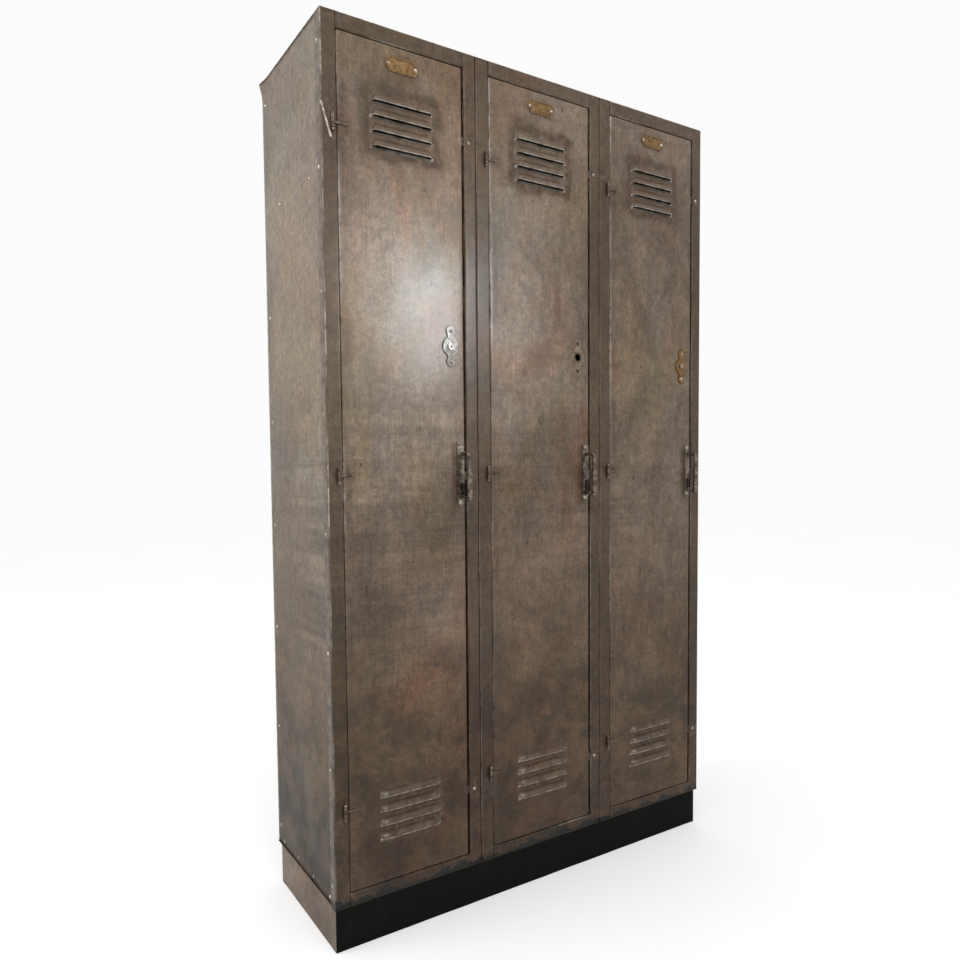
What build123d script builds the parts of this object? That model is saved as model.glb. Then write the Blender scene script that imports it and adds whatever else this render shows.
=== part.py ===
from build123d import *

import os

# A bank of three single-tier school lockers: riveted sheet steel on a low plinth.
#
# Frame: millimetres, +Z up, +X to the right, +Y from the front to the back.
# Origin: centre of the whole bank's footprint box, on the floor.
#
# "local x" below is measured from the left edge of a locker's own 12 inch place,
# and "back from the face" is a distance along +Y from the plane of the door faces.
# "past" is how far a cutting shape reaches past the face that it opens.

# ---------------------------------------------------------------- driving sizes
inch = 25.4
n_lockers = 3
pitch = 12 * inch
width = n_lockers * pitch
depth = 12 * inch
plinth_h = 3 * inch
height = 63 * inch

sheet_t = 1.2
frame_t = 1.5
bend_r = 2.5

# door frame members
hinge_jamb_w = 27.5
latch_jamb_w = 27.3
top_rail_h = 27.5
bottom_rail_h = 22.1
jamb_return = 22.0
stop_back = 18.0
stop_lap = 10.0
partition_x = -1.6
partition_setback = 4.0
back_flange = 25.0

# plinth
plinth_flange = 20.0
plinth_right_inset = 12.0
plinth_back_inset = 22.0

# door
door_left = 28.4
door_right = 272.6
door_clear = 1.5
pan_depth = 15.5
lip_left = 252.0
door_bend_r = 2.0

# louvres
louvre_w = 118.0
louvre_x = 150.0
louvre_h = 12.5
louvre_out = 7.0
louvre_pitch = 25.4
top_louvre_z = 1471.0
low_louvre_z = 257.0
n_louvres = 4
hood_top_t = 1.6
slot_overlap = 0.6

# hinges
hinge_x = 19.5
hinge_out = 4.0
hinge_heights = (1419.0, 832.0, 247.0)
knuckle_r = 3.4
pin_r = 1.5
pin_bore_r = 1.55
barrel_h = 21.0
door_knuckle_h = 7.0
strap_end = 46.0
strap_h = 5.0
strap_out = 2.5
strap_tip_r = 1.2
running_gap = 0.3
knuckle_gap = 0.2
knuckle_foot_w = 4.8
pin_ball_r = 2.5
pin_ball_rise = 2.1

# latch
catch_heights = (1440.5, 828.0, 226.0)
catch_h = 16.0
catch_left = 264.0
catch_rivet_x = 288.0
catch_tail = 8.0
catch_t = 2.5
catch_gap = 2.0
window_gap = 0.5
bar_left = 254.0
bar_right = 270.5
bar_back = 4.5
bar_t = 3.0
bar_low = 192.0
bar_high = 1470.0
lift = 19.0

# pull handle
grip_x = 270.0
grip_out = 20.5
arm_x = 265.5
rod_r = 3.95
sleeve_bore_r = 4.0
sleeve_r = 5.5
collar_r = 6.5
collar_bead_r = 1.4
arm_r = 4.0
arm_top_z = 869.0
arm_bend_r = 7.0
collar_z = (831.0, 822.5)
sleeve_top = 834.0
sleeve_low = 786.0
bore_low = 792.0
rod_low = 813.0
arm_low_z = 784.5
arm_bar_z = 792.0
plate_x = 263.0
plate_w = 16.0
plate_low = 772.0
plate_high = 890.0
handle_rivets = ((264.0, 881.5), (263.0, 779.0))
slot_x = 266.2
slot_w = 9.2
slot_low = 785.3
slot_high = 815.0

# lock
lock_x = 244.0
lock_z = 1066.0
lock_hole_r = 7.3
lock_rivet_z = 28.0
barrel_r = 7.25
plug_r = 5.45
plug_bore_r = 5.5
plate_t = 2.0
plate_r = 17.3
plate_neck_w = 14.0
plate_ear_r = 9.4
plate_edge_r = 0.7
barrel_out = 1.2
barrel_back = 11.0
plug_out = 1.0
key_pin_r = 1.3
key_slot_w = 1.1
key_slot_h = 3.4
key_slot_drop = 2.0
keyhole_depth = 9.0
cam_back = 12.0
cam_length = 26.0
cam_w = 12.0
cam_t = 2.0
cam_rise = 7.0
lockers_with_locks = (0, 2)

# number plate
plate_z = 1541.0
number_x = 151.0
number_rivet_x = 27.0
number_half_w = 33.0
number_half_h = 12.6
number_shoulder_x = 24.5
number_tip_z = 2.5
number_corner_r = 1.5
number_t = 1.3
number_rim_w = 1.6
number_rim_h = 0.5

# interior
shelf_z = 1351.0
shelf_flange = 18.0
hook_z = 1282.0
anchor_z = 1500.0
anchor_r = 4.5
lockers_with_anchors = (0, 2)
hook_r = 2.5
hook_ball_r = 3.25
hook_back = 150.0
hook_reach = 26.0
hook_rise = 22.0
hook_bend_r = 8.0
hook_plate_t = 2.0
hook_plate_w = 16.0
hook_plate_below = 12.0
hook_plate_above = 26.0

# rivets
rivet_head_r = 3.5
rivet_head_h = 1.7
rivet_shank_r = 1.6
n_side_rivets = 8
side_rivet_low = 116.0
side_rivet_pitch = 205.0
side_rivet_front = 14.0
side_rivet_back = 18.0
shelf_rivets_back = (62.0, 215.0)
n_hem_rivets = 4
hem_rivet_start = 30.0
hem_rivet_pitch = 80.0
hem_rivet_rise = 12.0
past = 1.0

# ------------------------------------------------------------ derived positions
handle_reach = grip_out + collar_r
left = -width / 2
front = -(depth - handle_reach) / 2
back = front + depth
body_low = plinth_h
floor_top = body_low + sheet_t
lid_low = height - sheet_t
opening_low = floor_top + bottom_rail_h
opening_high = height - top_rail_h
door_low = opening_low + door_clear
door_high = opening_high - door_clear
lockers = range(n_lockers)
plinth_right = left + width - plinth_right_inset
plinth_back = back - plinth_back_inset
side_rivet_z = [side_rivet_low + side_rivet_pitch * i for i in range(n_side_rivets)]
side_rivet_y = (front + side_rivet_front, back - side_rivet_back)
shelf_rivet_y = tuple(front + y for y in shelf_rivets_back)
hem_rivet_y = [front + hem_rivet_start + hem_rivet_pitch * i for i in range(n_hem_rivets)]
hem_rivet_z = body_low + hem_rivet_rise
hook_y = front + hook_back

os.makedirs("parts", exist_ok=True)


def at(k, local_x):
    """X of a point given from the left edge of locker k's place."""
    return left + pitch * k + local_x


def frame_left(k):
    """Outer left edge of locker k's door frame."""
    return left if k == 0 else at(k, partition_x + sheet_t / 2)


def frame_right(k):
    """Outer right edge of locker k's door frame."""
    return left + width if k == n_lockers - 1 else at(k + 1, partition_x - sheet_t / 2)


def inside_left(k):
    """Inner face of the sheet on locker k's left."""
    return left + frame_t + sheet_t if k == 0 else frame_left(k)


def inside_right(k):
    """Inner face of the sheet on locker k's right."""
    return left + width - frame_t - sheet_t if k == n_lockers - 1 else frame_right(k)


def facing_front(y):
    """Plane seen from the front: its own axes are X and Z, and it looks along -Y."""
    return Plane(origin=(0, y, 0), x_dir=(1, 0, 0), z_dir=(0, -1, 0))


def facing_right(x):
    """Plane seen from the right: its own axes are Y and Z, and it looks along +X."""
    return Plane(origin=(x, 0, 0), x_dir=(0, 1, 0), z_dir=(1, 0, 0))


def block(x_range, y_range, z_range, mode=Mode.ADD):
    """Rectangular block between the given corners, in the part being built."""
    spans = [high - low for low, high in (x_range, y_range, z_range)]
    centre = [(high + low) / 2 for low, high in (x_range, y_range, z_range)]
    with Locations(tuple(centre)):
        Box(*spans, mode=mode)


def patch(u_range, v_range, mode=Mode.ADD):
    """Rectangle between the given corners, in the sketch being drawn."""
    centre = ((u_range[0] + u_range[1]) / 2, (v_range[0] + v_range[1]) / 2)
    with Locations(centre):
        Rectangle(u_range[1] - u_range[0], v_range[1] - v_range[0], mode=mode)


def drill_from_front(x, z, r, y_start, y_end):
    """Round hole along Y, from y_start to y_end."""
    with Locations(Plane(origin=(x, (y_start + y_end) / 2, z), z_dir=(0, -1, 0))):
        Cylinder(r, abs(y_end - y_start), mode=Mode.SUBTRACT)


def drill_from_side(x, y, z, r, length):
    """Round hole along X, centred on the given point."""
    with Locations(Plane(origin=(x, y, z), z_dir=(1, 0, 0))):
        Cylinder(r, length, mode=Mode.SUBTRACT)


def save(part, name):
    """Label a finished piece and write it as its own file."""
    part.label = name
    export_step(part, f"parts/{name}.step")


def rivet(head_r, head_h, grip_length):
    """Domed rivet: spherical head on +Z, shank of the given length below the origin."""
    dome_r = (head_r**2 + head_h**2) / (2 * head_h)
    half_way = (head_r / 2, head_h - dome_r + (dome_r**2 - head_r**2 / 4) ** 0.5)
    with BuildPart() as one:
        with BuildSketch(Plane.XZ):
            with BuildLine():
                Polyline(
                    (0, head_h),
                    (0, -grip_length),
                    (rivet_shank_r, -grip_length),
                    (rivet_shank_r, 0),
                    (head_r, 0),
                )
                ThreePointArc((head_r, 0), half_way, (0, head_h))
            make_face()
        revolve(axis=Axis.Z)
    return one.part


def rivet_group(places, head_r, head_h, grip_length):
    """Copies of one rivet, standing on the given planes."""
    master = rivet(head_r, head_h, grip_length)
    with BuildPart() as group:
        with Locations(*places):
            add(master)
    return group.part


# ------------------------------------------------------------------ body sheets
def end_panel_holes(x):
    """Rivet holes through an end panel, whose middle plane is at x."""
    for y in side_rivet_y:
        for z in side_rivet_z:
            drill_from_side(x, y, z, rivet_shank_r, 2 * sheet_t)
    for y in shelf_rivet_y:
        drill_from_side(x, y, shelf_z - shelf_flange / 2, rivet_shank_r, 2 * sheet_t)
    for y in hem_rivet_y:
        drill_from_side(x, y, hem_rivet_z, rivet_shank_r, 2 * sheet_t)


def end_panel(x_outer, inward):
    """Flat end sheet behind the frame's wrap-round flange."""
    x_pair = sorted((x_outer, x_outer + inward * sheet_t))
    with BuildPart() as panel:
        block(x_pair, (front + frame_t, back), (floor_top, lid_low))
        end_panel_holes(sum(x_pair) / 2)
    return panel.part


save(end_panel(left + frame_t, 1), "left_side_panel")
save(end_panel(left + width - frame_t, -1), "right_side_panel")

for k in lockers[1:]:
    with BuildPart() as partition:
        block(
            (frame_right(k - 1), frame_left(k)),
            (front + partition_setback, back),
            (floor_top, lid_low),
        )
    save(partition.part, f"partition_{k}")

for k in lockers:
    with BuildPart() as back_panel:
        x0 = inside_left(k)
        x1 = inside_right(k)
        block((x0, x1), (back - back_flange, back), (floor_top, lid_low))
        block(
            (x0 + sheet_t, x1 - sheet_t),
            (back - back_flange, back - sheet_t),
            (floor_top, lid_low),
            mode=Mode.SUBTRACT,
        )
        if k == 0:
            for z in side_rivet_z:
                drill_from_side(x0, side_rivet_y[1], z, rivet_shank_r, 4 * sheet_t)
        if k == n_lockers - 1:
            for z in side_rivet_z:
                drill_from_side(x1, side_rivet_y[1], z, rivet_shank_r, 4 * sheet_t)
        if k in lockers_with_anchors:
            drill_from_front(
                at(k, pitch / 2), anchor_z, anchor_r, back - sheet_t - past, back + past
            )
    save(back_panel.part, f"back_panel_{k + 1}")

with BuildPart() as top_panel:
    block((left, left + width), (front, back), (lid_low, height))
    fillet(top_panel.edges().group_by(Axis.Z)[-1], sheet_t * 0.8)
save(top_panel.part, "top_panel")

with BuildPart() as floor_panel:
    block((left, left + width), (front, back), (body_low, floor_top))
save(floor_panel.part, "floor_panel")

for k in lockers:
    with BuildPart() as shelf:
        x0 = inside_left(k) + sheet_t
        x1 = inside_right(k) - sheet_t
        y0 = front + jamb_return + frame_t
        y1 = back - sheet_t
        block((x0, x1), (y0, y1), (shelf_z - shelf_flange, shelf_z))
        block(
            (x0 + sheet_t, x1 - sheet_t),
            (y0 + sheet_t, y1 - sheet_t),
            (shelf_z - shelf_flange, shelf_z - sheet_t),
            mode=Mode.SUBTRACT,
        )
        front_edge = shelf.faces().sort_by(Axis.Y)[0].edges().sort_by(Axis.Z)[-1]
        fillet(front_edge, sheet_t)
    save(shelf.part, f"hat_shelf_{k + 1}")

# ------------------------------------------------------------------ door frames
def jamb(x_outer, x_inner, side):
    """Rolled jamb: outer return, face, inner return and the door stop.

    side is +1 for the hinge jamb, whose opening lies to its right, and -1 for the
    latch jamb.
    """
    with BuildPart() as post:
        with BuildSketch(Plane.XY.offset(floor_top)) as profile:
            patch(sorted((x_outer, x_inner)), (front, front + frame_t))
            patch(sorted((x_outer, x_outer + side * frame_t)), (front, front + jamb_return))
            patch(
                sorted((x_inner, x_inner - side * frame_t)),
                (front, front + stop_back + frame_t),
            )
            patch(
                sorted((x_inner - side * frame_t, x_inner + side * stop_lap)),
                (front + stop_back, front + stop_back + frame_t),
            )
            fillet(profile.vertices().group_by(Axis.Y)[0], bend_r)
        extrude(amount=lid_low - floor_top)
    return post.part


for k in lockers:
    with BuildPart() as hinge_jamb:
        add(jamb(frame_left(k), at(k, hinge_jamb_w), 1))
        if k == 0:
            for z in side_rivet_z:
                drill_from_side(left, side_rivet_y[0], z, rivet_shank_r, 4 * frame_t)
    save(hinge_jamb.part, f"hinge_jamb_{k + 1}")

for k in lockers:
    x_in = at(k, pitch - latch_jamb_w)
    with BuildPart() as latch_jamb:
        add(jamb(frame_right(k), x_in, -1))
        for z in catch_heights:
            block(
                (x_in - frame_t, x_in + 2 * frame_t),
                (front + frame_t, front + frame_t + catch_t + window_gap),
                (z - catch_h / 2 - window_gap, z + catch_h / 2 + window_gap),
                mode=Mode.SUBTRACT,
            )
            drill_from_front(
                at(k, catch_rivet_x), z, rivet_shank_r, front - past, front + frame_t + past
            )
        if k == n_lockers - 1:
            for z in side_rivet_z:
                drill_from_side(left + width, side_rivet_y[0], z, rivet_shank_r, 4 * frame_t)
    save(latch_jamb.part, f"latch_jamb_{k + 1}")


def rail(k, z_outer, z_inner):
    """Channel rail between the jambs; its stop stands past z_inner."""
    up = 1 if z_inner > z_outer else -1
    x0 = at(k, hinge_jamb_w)
    x1 = at(k, pitch - latch_jamb_w)
    with BuildPart() as cross:
        with BuildSketch(facing_right(x0)) as profile:
            patch((front, front + frame_t), sorted((z_outer, z_inner)))
            patch((front, front + stop_back), sorted((z_outer, z_outer + up * frame_t)))
            patch((front, front + stop_back), sorted((z_inner, z_inner - up * frame_t)))
            patch(
                (front + stop_back - frame_t, front + stop_back),
                sorted((z_inner - up * frame_t, z_inner + up * stop_lap)),
            )
            opening_edge = profile.vertices().group_by(Axis.X)[0]
            fillet(opening_edge.sort_by(Axis.Y)[-1 if up > 0 else 0], bend_r)
        extrude(amount=x1 - x0)
    return cross.part


for k in lockers:
    save(rail(k, lid_low, opening_high), f"top_rail_{k + 1}")
for k in lockers:
    save(rail(k, floor_top, opening_low), f"bottom_rail_{k + 1}")

# ----------------------------------------------------------------------- plinth
def plinth_bar_x(y_web, inward):
    """Plinth channel running along X, with its flanges pointing inward along Y."""
    web = sorted((y_web, y_web + inward * frame_t))
    flange = sorted((y_web, y_web + inward * plinth_flange))
    with BuildPart() as bar:
        with BuildSketch(facing_right(left)):
            patch(web, (0, plinth_h))
            patch(flange, (0, frame_t))
            patch(flange, (plinth_h - frame_t, plinth_h))
        extrude(amount=plinth_right - left)
    return bar.part


def plinth_bar_y(x_web, inward):
    """Plinth channel running along Y between the front and rear channels."""
    web = sorted((x_web, x_web + inward * frame_t))
    flange = sorted((x_web, x_web + inward * plinth_flange))
    y0 = front + plinth_flange
    y1 = plinth_back - plinth_flange
    with BuildPart() as bar:
        block(web, (front + frame_t, plinth_back - frame_t), (frame_t, plinth_h - frame_t))
        block(flange, (y0, y1), (0, frame_t))
        block(flange, (y0, y1), (plinth_h - frame_t, plinth_h))
    return bar.part


save(plinth_bar_x(front, 1), "plinth_front")
save(plinth_bar_x(plinth_back, -1), "plinth_rear")
save(plinth_bar_y(left, 1), "plinth_left")
save(plinth_bar_y(plinth_right, -1), "plinth_right")

# ------------------------------------------------------------------------ doors
face = facing_front(front)


def draw_hood_section(y_behind, out, rise, below):
    """Half section of a louvre hood, in the YZ sketch being drawn, slot at z = 0."""
    with BuildLine() as outline:
        Line((y_behind, -below), (front - out, -below))
        ThreePointArc((front - out, -below), (front - out * 0.8, rise * 0.55), (front, rise))
        if y_behind > front:
            Line((front, rise), (y_behind, rise))
        Line((y_behind, rise), (y_behind, -below))
    make_face(outline.edges())


def louvre_solid(out, rise, below, sheet):
    """Bull-nosed hood: its section run along X, and turned about Z at each end."""
    run = louvre_w / 2 - louvre_out
    with BuildPart() as hood:
        with BuildSketch(facing_right(-run)):
            draw_hood_section(front + sheet, out, rise, below)
        extrude(amount=2 * run)
        for x in (-run, run):
            with BuildSketch(facing_right(x)):
                draw_hood_section(front, out, rise, below)
            revolve(axis=Axis((x, front, 0), (0, 0, 1)))
    return hood.part


hood_outer = louvre_solid(louvre_out, louvre_h, 0.0, sheet_t / 2)
hood_inner = louvre_solid(
    louvre_out - sheet_t, louvre_h - hood_top_t, slot_overlap, 2 * sheet_t
)
louvre_slots = [top_louvre_z - louvre_pitch * i for i in range(n_louvres)]
louvre_slots += [low_louvre_z - louvre_pitch * i for i in range(n_louvres)]


def rivet_plane(x, y, z):
    """Where a rivet stands on a face that looks towards the front."""
    return Plane(origin=(x, y, z), x_dir=(1, 0, 0), z_dir=(0, -1, 0))


for k in lockers:
    hoods = [Location((at(k, louvre_x), 0, z)) for z in louvre_slots]
    x0 = at(k, door_left)
    x1 = at(k, door_right)
    with BuildPart() as door_panel:
        block((x0, x1), (front, front + pan_depth), (door_low, door_high))
        fillet(door_panel.faces().sort_by(Axis.Y)[0].edges(), door_bend_r)
        with Locations(*hoods):
            add(hood_outer)
        block(
            (x0 + sheet_t, x1 - sheet_t),
            (front + sheet_t, front + pan_depth),
            (door_low + sheet_t, door_high - sheet_t),
            mode=Mode.SUBTRACT,
        )
        block(
            (at(k, lip_left), x1),
            (front + pan_depth - sheet_t, front + pan_depth),
            (door_low, door_high),
        )
        with Locations(*hoods):
            add(hood_inner, mode=Mode.SUBTRACT)
        for z in catch_heights:
            block(
                (at(k, catch_left - catch_gap), x1 + past),
                (front + sheet_t, front + pan_depth + past),
                (z - catch_h / 2 - catch_gap, z + catch_h / 2 + catch_gap),
                mode=Mode.SUBTRACT,
            )
        with BuildSketch(face):
            with Locations((at(k, slot_x), (slot_low + slot_high) / 2)):
                SlotOverall(slot_high - slot_low, slot_w, rotation=90)
            with Locations((at(k, lock_x), lock_z)):
                Circle(lock_hole_r)
                with Locations((0, lock_rivet_z), (0, -lock_rivet_z)):
                    Circle(rivet_shank_r)
            for x, z in handle_rivets:
                with Locations((at(k, x), z)):
                    Circle(rivet_shank_r)
            for dx in (-number_rivet_x, number_rivet_x):
                with Locations((at(k, number_x + dx), plate_z)):
                    Circle(rivet_shank_r)
        extrude(amount=-sheet_t, mode=Mode.SUBTRACT)
    save(door_panel.part, f"door_panel_{k + 1}")

tip = (number_half_w, number_tip_z)
shoulder = (number_shoulder_x, number_half_h)
plate_quarters = [(-1, -1, tip), (-1, -1, shoulder), (1, -1, shoulder), (1, -1, tip)]
plate_quarters += [(1, 1, tip), (1, 1, shoulder), (-1, 1, shoulder), (-1, 1, tip)]
for k in lockers:
    with BuildPart() as number_plate:
        with BuildSketch(face) as outline:
            with BuildLine():
                Polyline([(sx * x, sz * z) for sx, sz, (x, z) in plate_quarters], close=True)
            make_face()
            fillet(outline.vertices(), number_corner_r)
        extrude(amount=number_t)
        front_face = number_plate.faces().sort_by(Axis.Y)[0]
        with BuildSketch(front_face) as rim:
            add(front_face)
            offset(amount=-number_rim_w, mode=Mode.SUBTRACT)
        extrude(amount=number_rim_h)
        with Locations(
            rivet_plane(-number_rivet_x, front, 0), rivet_plane(number_rivet_x, front, 0)
        ):
            Cylinder(rivet_shank_r, 4 * number_t, mode=Mode.SUBTRACT)
    placed = number_plate.part.moved(Location((at(k, number_x), 0, plate_z)))
    save(placed, f"number_plate_{k + 1}")

for k in lockers:
    with BuildPart() as straps:
        for z in hinge_heights:
            with BuildSketch(facing_right(at(k, hinge_x))):
                with Locations((front, z)):
                    Ellipse(strap_out, strap_h / 2)
                patch((front, front + strap_out), (z - strap_h, z + strap_h), Mode.SUBTRACT)
            extrude(amount=strap_end - hinge_x)
            with Locations((at(k, hinge_x), front - hinge_out, z)):
                Cylinder(knuckle_r, door_knuckle_h)
                Cylinder(pin_bore_r, 2 * door_knuckle_h, mode=Mode.SUBTRACT)
            block(
                (at(k, hinge_x - 5), at(k, door_left + 0.2)),
                (front - running_gap, front + 1),
                (z - strap_h, z + strap_h),
                mode=Mode.SUBTRACT,
            )
        tips = straps.faces().filter_by(Plane.YZ).group_by(Axis.X)[-1]
        fillet(tips.edges().filter_by(GeomType.ELLIPSE), strap_tip_r)
    save(straps.part, f"hinge_straps_{k + 1}")

frame_knuckle_h = (barrel_h - door_knuckle_h) / 2 - knuckle_gap
knuckle_offset = door_knuckle_h / 2 + knuckle_gap + frame_knuckle_h / 2
with BuildPart() as frame_knuckles:
    for k in lockers:
        for z in hinge_heights:
            for dz in (-knuckle_offset, knuckle_offset):
                half = frame_knuckle_h / 2
                block(
                    (at(k, hinge_x - knuckle_foot_w / 2), at(k, hinge_x + knuckle_foot_w / 2)),
                    (front - hinge_out, front),
                    (z + dz - half, z + dz + half),
                )
                with Locations((at(k, hinge_x), front - hinge_out, z + dz)):
                    Cylinder(knuckle_r, frame_knuckle_h)
                    Cylinder(pin_bore_r, frame_knuckle_h + past, mode=Mode.SUBTRACT)
save(frame_knuckles.part, "hinge_frame_knuckles")

ball_z = barrel_h / 2 + pin_ball_rise
with BuildPart() as hinge_pins:
    for k in lockers:
        for z in hinge_heights:
            with Locations((at(k, hinge_x), front - hinge_out, z)):
                Cylinder(pin_r, 2 * ball_z)
                with Locations((0, 0, ball_z), (0, 0, -ball_z)):
                    Sphere(pin_ball_r)
save(hinge_pins.part, "hinge_pins")

# ----------------------------------------------------------- catches and latches
with BuildPart() as catches:
    for k in lockers:
        for z in catch_heights:
            block(
                (at(k, catch_left), at(k, catch_rivet_x + catch_tail)),
                (front + frame_t, front + frame_t + catch_t),
                (z - catch_h / 2, z + catch_h / 2),
            )
            drill_from_front(
                at(k, catch_rivet_x), z, rivet_shank_r, front, front + 2 * catch_t + past
            )
save(catches.part, "latch_catches")

catch_rivet_places = [
    rivet_plane(at(k, catch_rivet_x), front, z) for k in lockers for z in catch_heights
]

for k in lockers:
    with BuildPart() as lock_bar:
        block(
            (at(k, bar_left), at(k, bar_right)),
            (front + bar_back, front + bar_back + bar_t),
            (bar_low, bar_high),
        )
        for z in catch_heights:
            block(
                (at(k, catch_left - past), at(k, bar_right + past)),
                (front + bar_back - past, front + bar_back + bar_t + past),
                (z - catch_h / 2 - lift - window_gap, z + catch_h / 2 + past),
                mode=Mode.SUBTRACT,
            )
    save(lock_bar.part, f"lock_bar_{k + 1}")

for k in lockers:
    grip = Vector(at(k, grip_x), front - grip_out, 0)
    with BuildPart() as pull_handle:
        with BuildSketch(face):
            with Locations((at(k, plate_x), (plate_low + plate_high) / 2)):
                SlotOverall(plate_high - plate_low, plate_w, rotation=90)
        extrude(amount=frame_t)
        with BuildLine() as arm_line:
            FilletPolyline(
                (at(k, arm_x), front + past, arm_top_z),
                (grip.X, grip.Y, arm_top_z),
                (grip.X, grip.Y, sleeve_top),
                radius=arm_bend_r,
            )
        start = Plane(origin=arm_line.line @ 0, z_dir=arm_line.line % 0)
        with BuildSketch(start):
            Circle(rod_r)
        sweep()
        with Locations((grip.X, grip.Y, (sleeve_top + rod_low) / 2)):
            Cylinder(rod_r, sleeve_top - rod_low)
        block(
            (at(k, arm_x - 2 * arm_r), at(k, arm_x + 2 * arm_r)),
            (front, front + 2 * arm_r),
            (arm_top_z - 2 * arm_r, arm_top_z + 2 * arm_r),
            mode=Mode.SUBTRACT,
        )
        with BuildSketch(face):
            with Locations((at(k, slot_x), (slot_low + slot_high) / 2)):
                SlotOverall(slot_high - slot_low, slot_w, rotation=90)
            for x, z in handle_rivets:
                with Locations((at(k, x), z)):
                    Circle(rivet_shank_r)
        extrude(amount=frame_t, mode=Mode.SUBTRACT)
    save(pull_handle.part, f"pull_handle_{k + 1}")

for k in lockers:
    gx = at(k, grip_x)
    gy = front - grip_out
    with BuildPart() as lift_sleeve:
        with Locations((gx, gy, (sleeve_top + sleeve_low) / 2)):
            Cylinder(sleeve_r, sleeve_top - sleeve_low)
        with Locations((gx, gy, sleeve_low)):
            Sphere(sleeve_r)
        for z in collar_z:
            with BuildSketch(Plane.XZ.offset(-gy)):
                with Locations((gx + collar_r - collar_bead_r, z)):
                    Circle(collar_bead_r)
            revolve(axis=Axis((gx, gy, 0), (0, 0, 1)))
        arm_start = Vector(gx, gy, arm_low_z)
        arm_end = Vector(at(k, arm_x), front + bar_back, arm_bar_z)
        with BuildSketch(Plane(origin=arm_start, z_dir=arm_end - arm_start)):
            Circle(arm_r)
        extrude(amount=(arm_end - arm_start).length + arm_r)
        block(
            (at(k, arm_x - 3 * arm_r), at(k, arm_x + 3 * arm_r)),
            (front + bar_back, front + bar_back + 3 * arm_r),
            (arm_bar_z - 3 * arm_r, arm_bar_z + 3 * arm_r),
            mode=Mode.SUBTRACT,
        )
        bore_length = sleeve_top - bore_low + past
        with Locations((gx, gy, bore_low + bore_length / 2)):
            Cylinder(sleeve_bore_r, bore_length, mode=Mode.SUBTRACT)
    save(lift_sleeve.part, f"lift_sleeve_{k + 1}")

# ------------------------------------------------------------------------ locks
for k in lockers_with_locks:
    with BuildPart() as escutcheon:
        with BuildSketch(face):
            with Locations((at(k, lock_x), lock_z)):
                Circle(plate_r)
                Rectangle(plate_neck_w, 2 * lock_rivet_z)
                with Locations((0, lock_rivet_z), (0, -lock_rivet_z)):
                    Circle(plate_ear_r)
        extrude(amount=plate_t)
        fillet(escutcheon.faces().sort_by(Axis.Y)[0].edges(), plate_edge_r)
        barrel_face = front - plate_t - barrel_out
        with BuildSketch(facing_front(barrel_face)):
            with Locations((at(k, lock_x), lock_z)):
                Circle(barrel_r)
        extrude(amount=-(plate_t + barrel_out + barrel_back))
        bore_ends = (barrel_face - past, front + barrel_back + past)
        drill_from_front(at(k, lock_x), lock_z, plug_bore_r, *bore_ends)
        for z in (lock_z - lock_rivet_z, lock_z + lock_rivet_z):
            drill_from_front(at(k, lock_x), z, rivet_shank_r, barrel_face, front + past)
    save(escutcheon.part, f"lock_escutcheon_{k + 1}")

    with BuildPart() as lock_plug:
        with BuildSketch(facing_front(front - plate_t - plug_out)):
            with Locations((at(k, lock_x), lock_z)):
                Circle(plug_r)
        extrude(amount=-(plate_t + plug_out + cam_back))
        with BuildSketch(facing_front(front - plate_t - plug_out)):
            with Locations((at(k, lock_x), lock_z)):
                Circle(key_pin_r)
                with Locations((0, -key_slot_drop)):
                    Rectangle(key_slot_w, key_slot_h)
        extrude(amount=-keyhole_depth, mode=Mode.SUBTRACT)
    save(lock_plug.part, f"lock_plug_{k + 1}")

    with BuildPart() as lock_cam:
        with BuildSketch(facing_front(front + cam_back)):
            with Locations((at(k, lock_x), lock_z + cam_rise)):
                SlotOverall(cam_length, cam_w, rotation=90)
        extrude(amount=-cam_t)
    save(lock_cam.part, f"lock_cam_{k + 1}")

# ---------------------------------------------------------------- door fasteners
for k in lockers:
    on_face = []
    for x, z in handle_rivets:
        on_face.append(rivet_plane(at(k, x), front - frame_t, z))
    if k in lockers_with_locks:
        for dz in (-lock_rivet_z, lock_rivet_z):
            on_face.append(rivet_plane(at(k, lock_x), front - plate_t, lock_z + dz))
    for dx in (-number_rivet_x, number_rivet_x):
        on_face.append(rivet_plane(at(k, number_x + dx), front - number_t, plate_z))
    save(rivet_group(on_face, rivet_head_r, rivet_head_h, sheet_t), f"door_rivets_{k + 1}")

# ------------------------------------------------------------------ body rivets
side_places = []
for x, towards in ((left, -1), (left + width, 1)):
    x_panel = x - towards * frame_t
    for y in side_rivet_y + shelf_rivet_y:
        x_face = x if y < front + jamb_return else x_panel
        heights = [shelf_z - shelf_flange / 2] if y in shelf_rivet_y else side_rivet_z
        for z in heights:
            side_places.append(Plane(origin=(x_face, y, z), z_dir=(towards, 0, 0)))
    for y in hem_rivet_y:
        side_places.append(Plane(origin=(x_panel, y, hem_rivet_z), z_dir=(towards, 0, 0)))
with BuildPart() as frame_rivets:
    add(rivet_group(side_places, rivet_head_r, rivet_head_h, sheet_t))
    add(rivet_group(catch_rivet_places, rivet_head_r, rivet_head_h, frame_t + catch_t))
save(frame_rivets.part, "frame_rivets")

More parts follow.
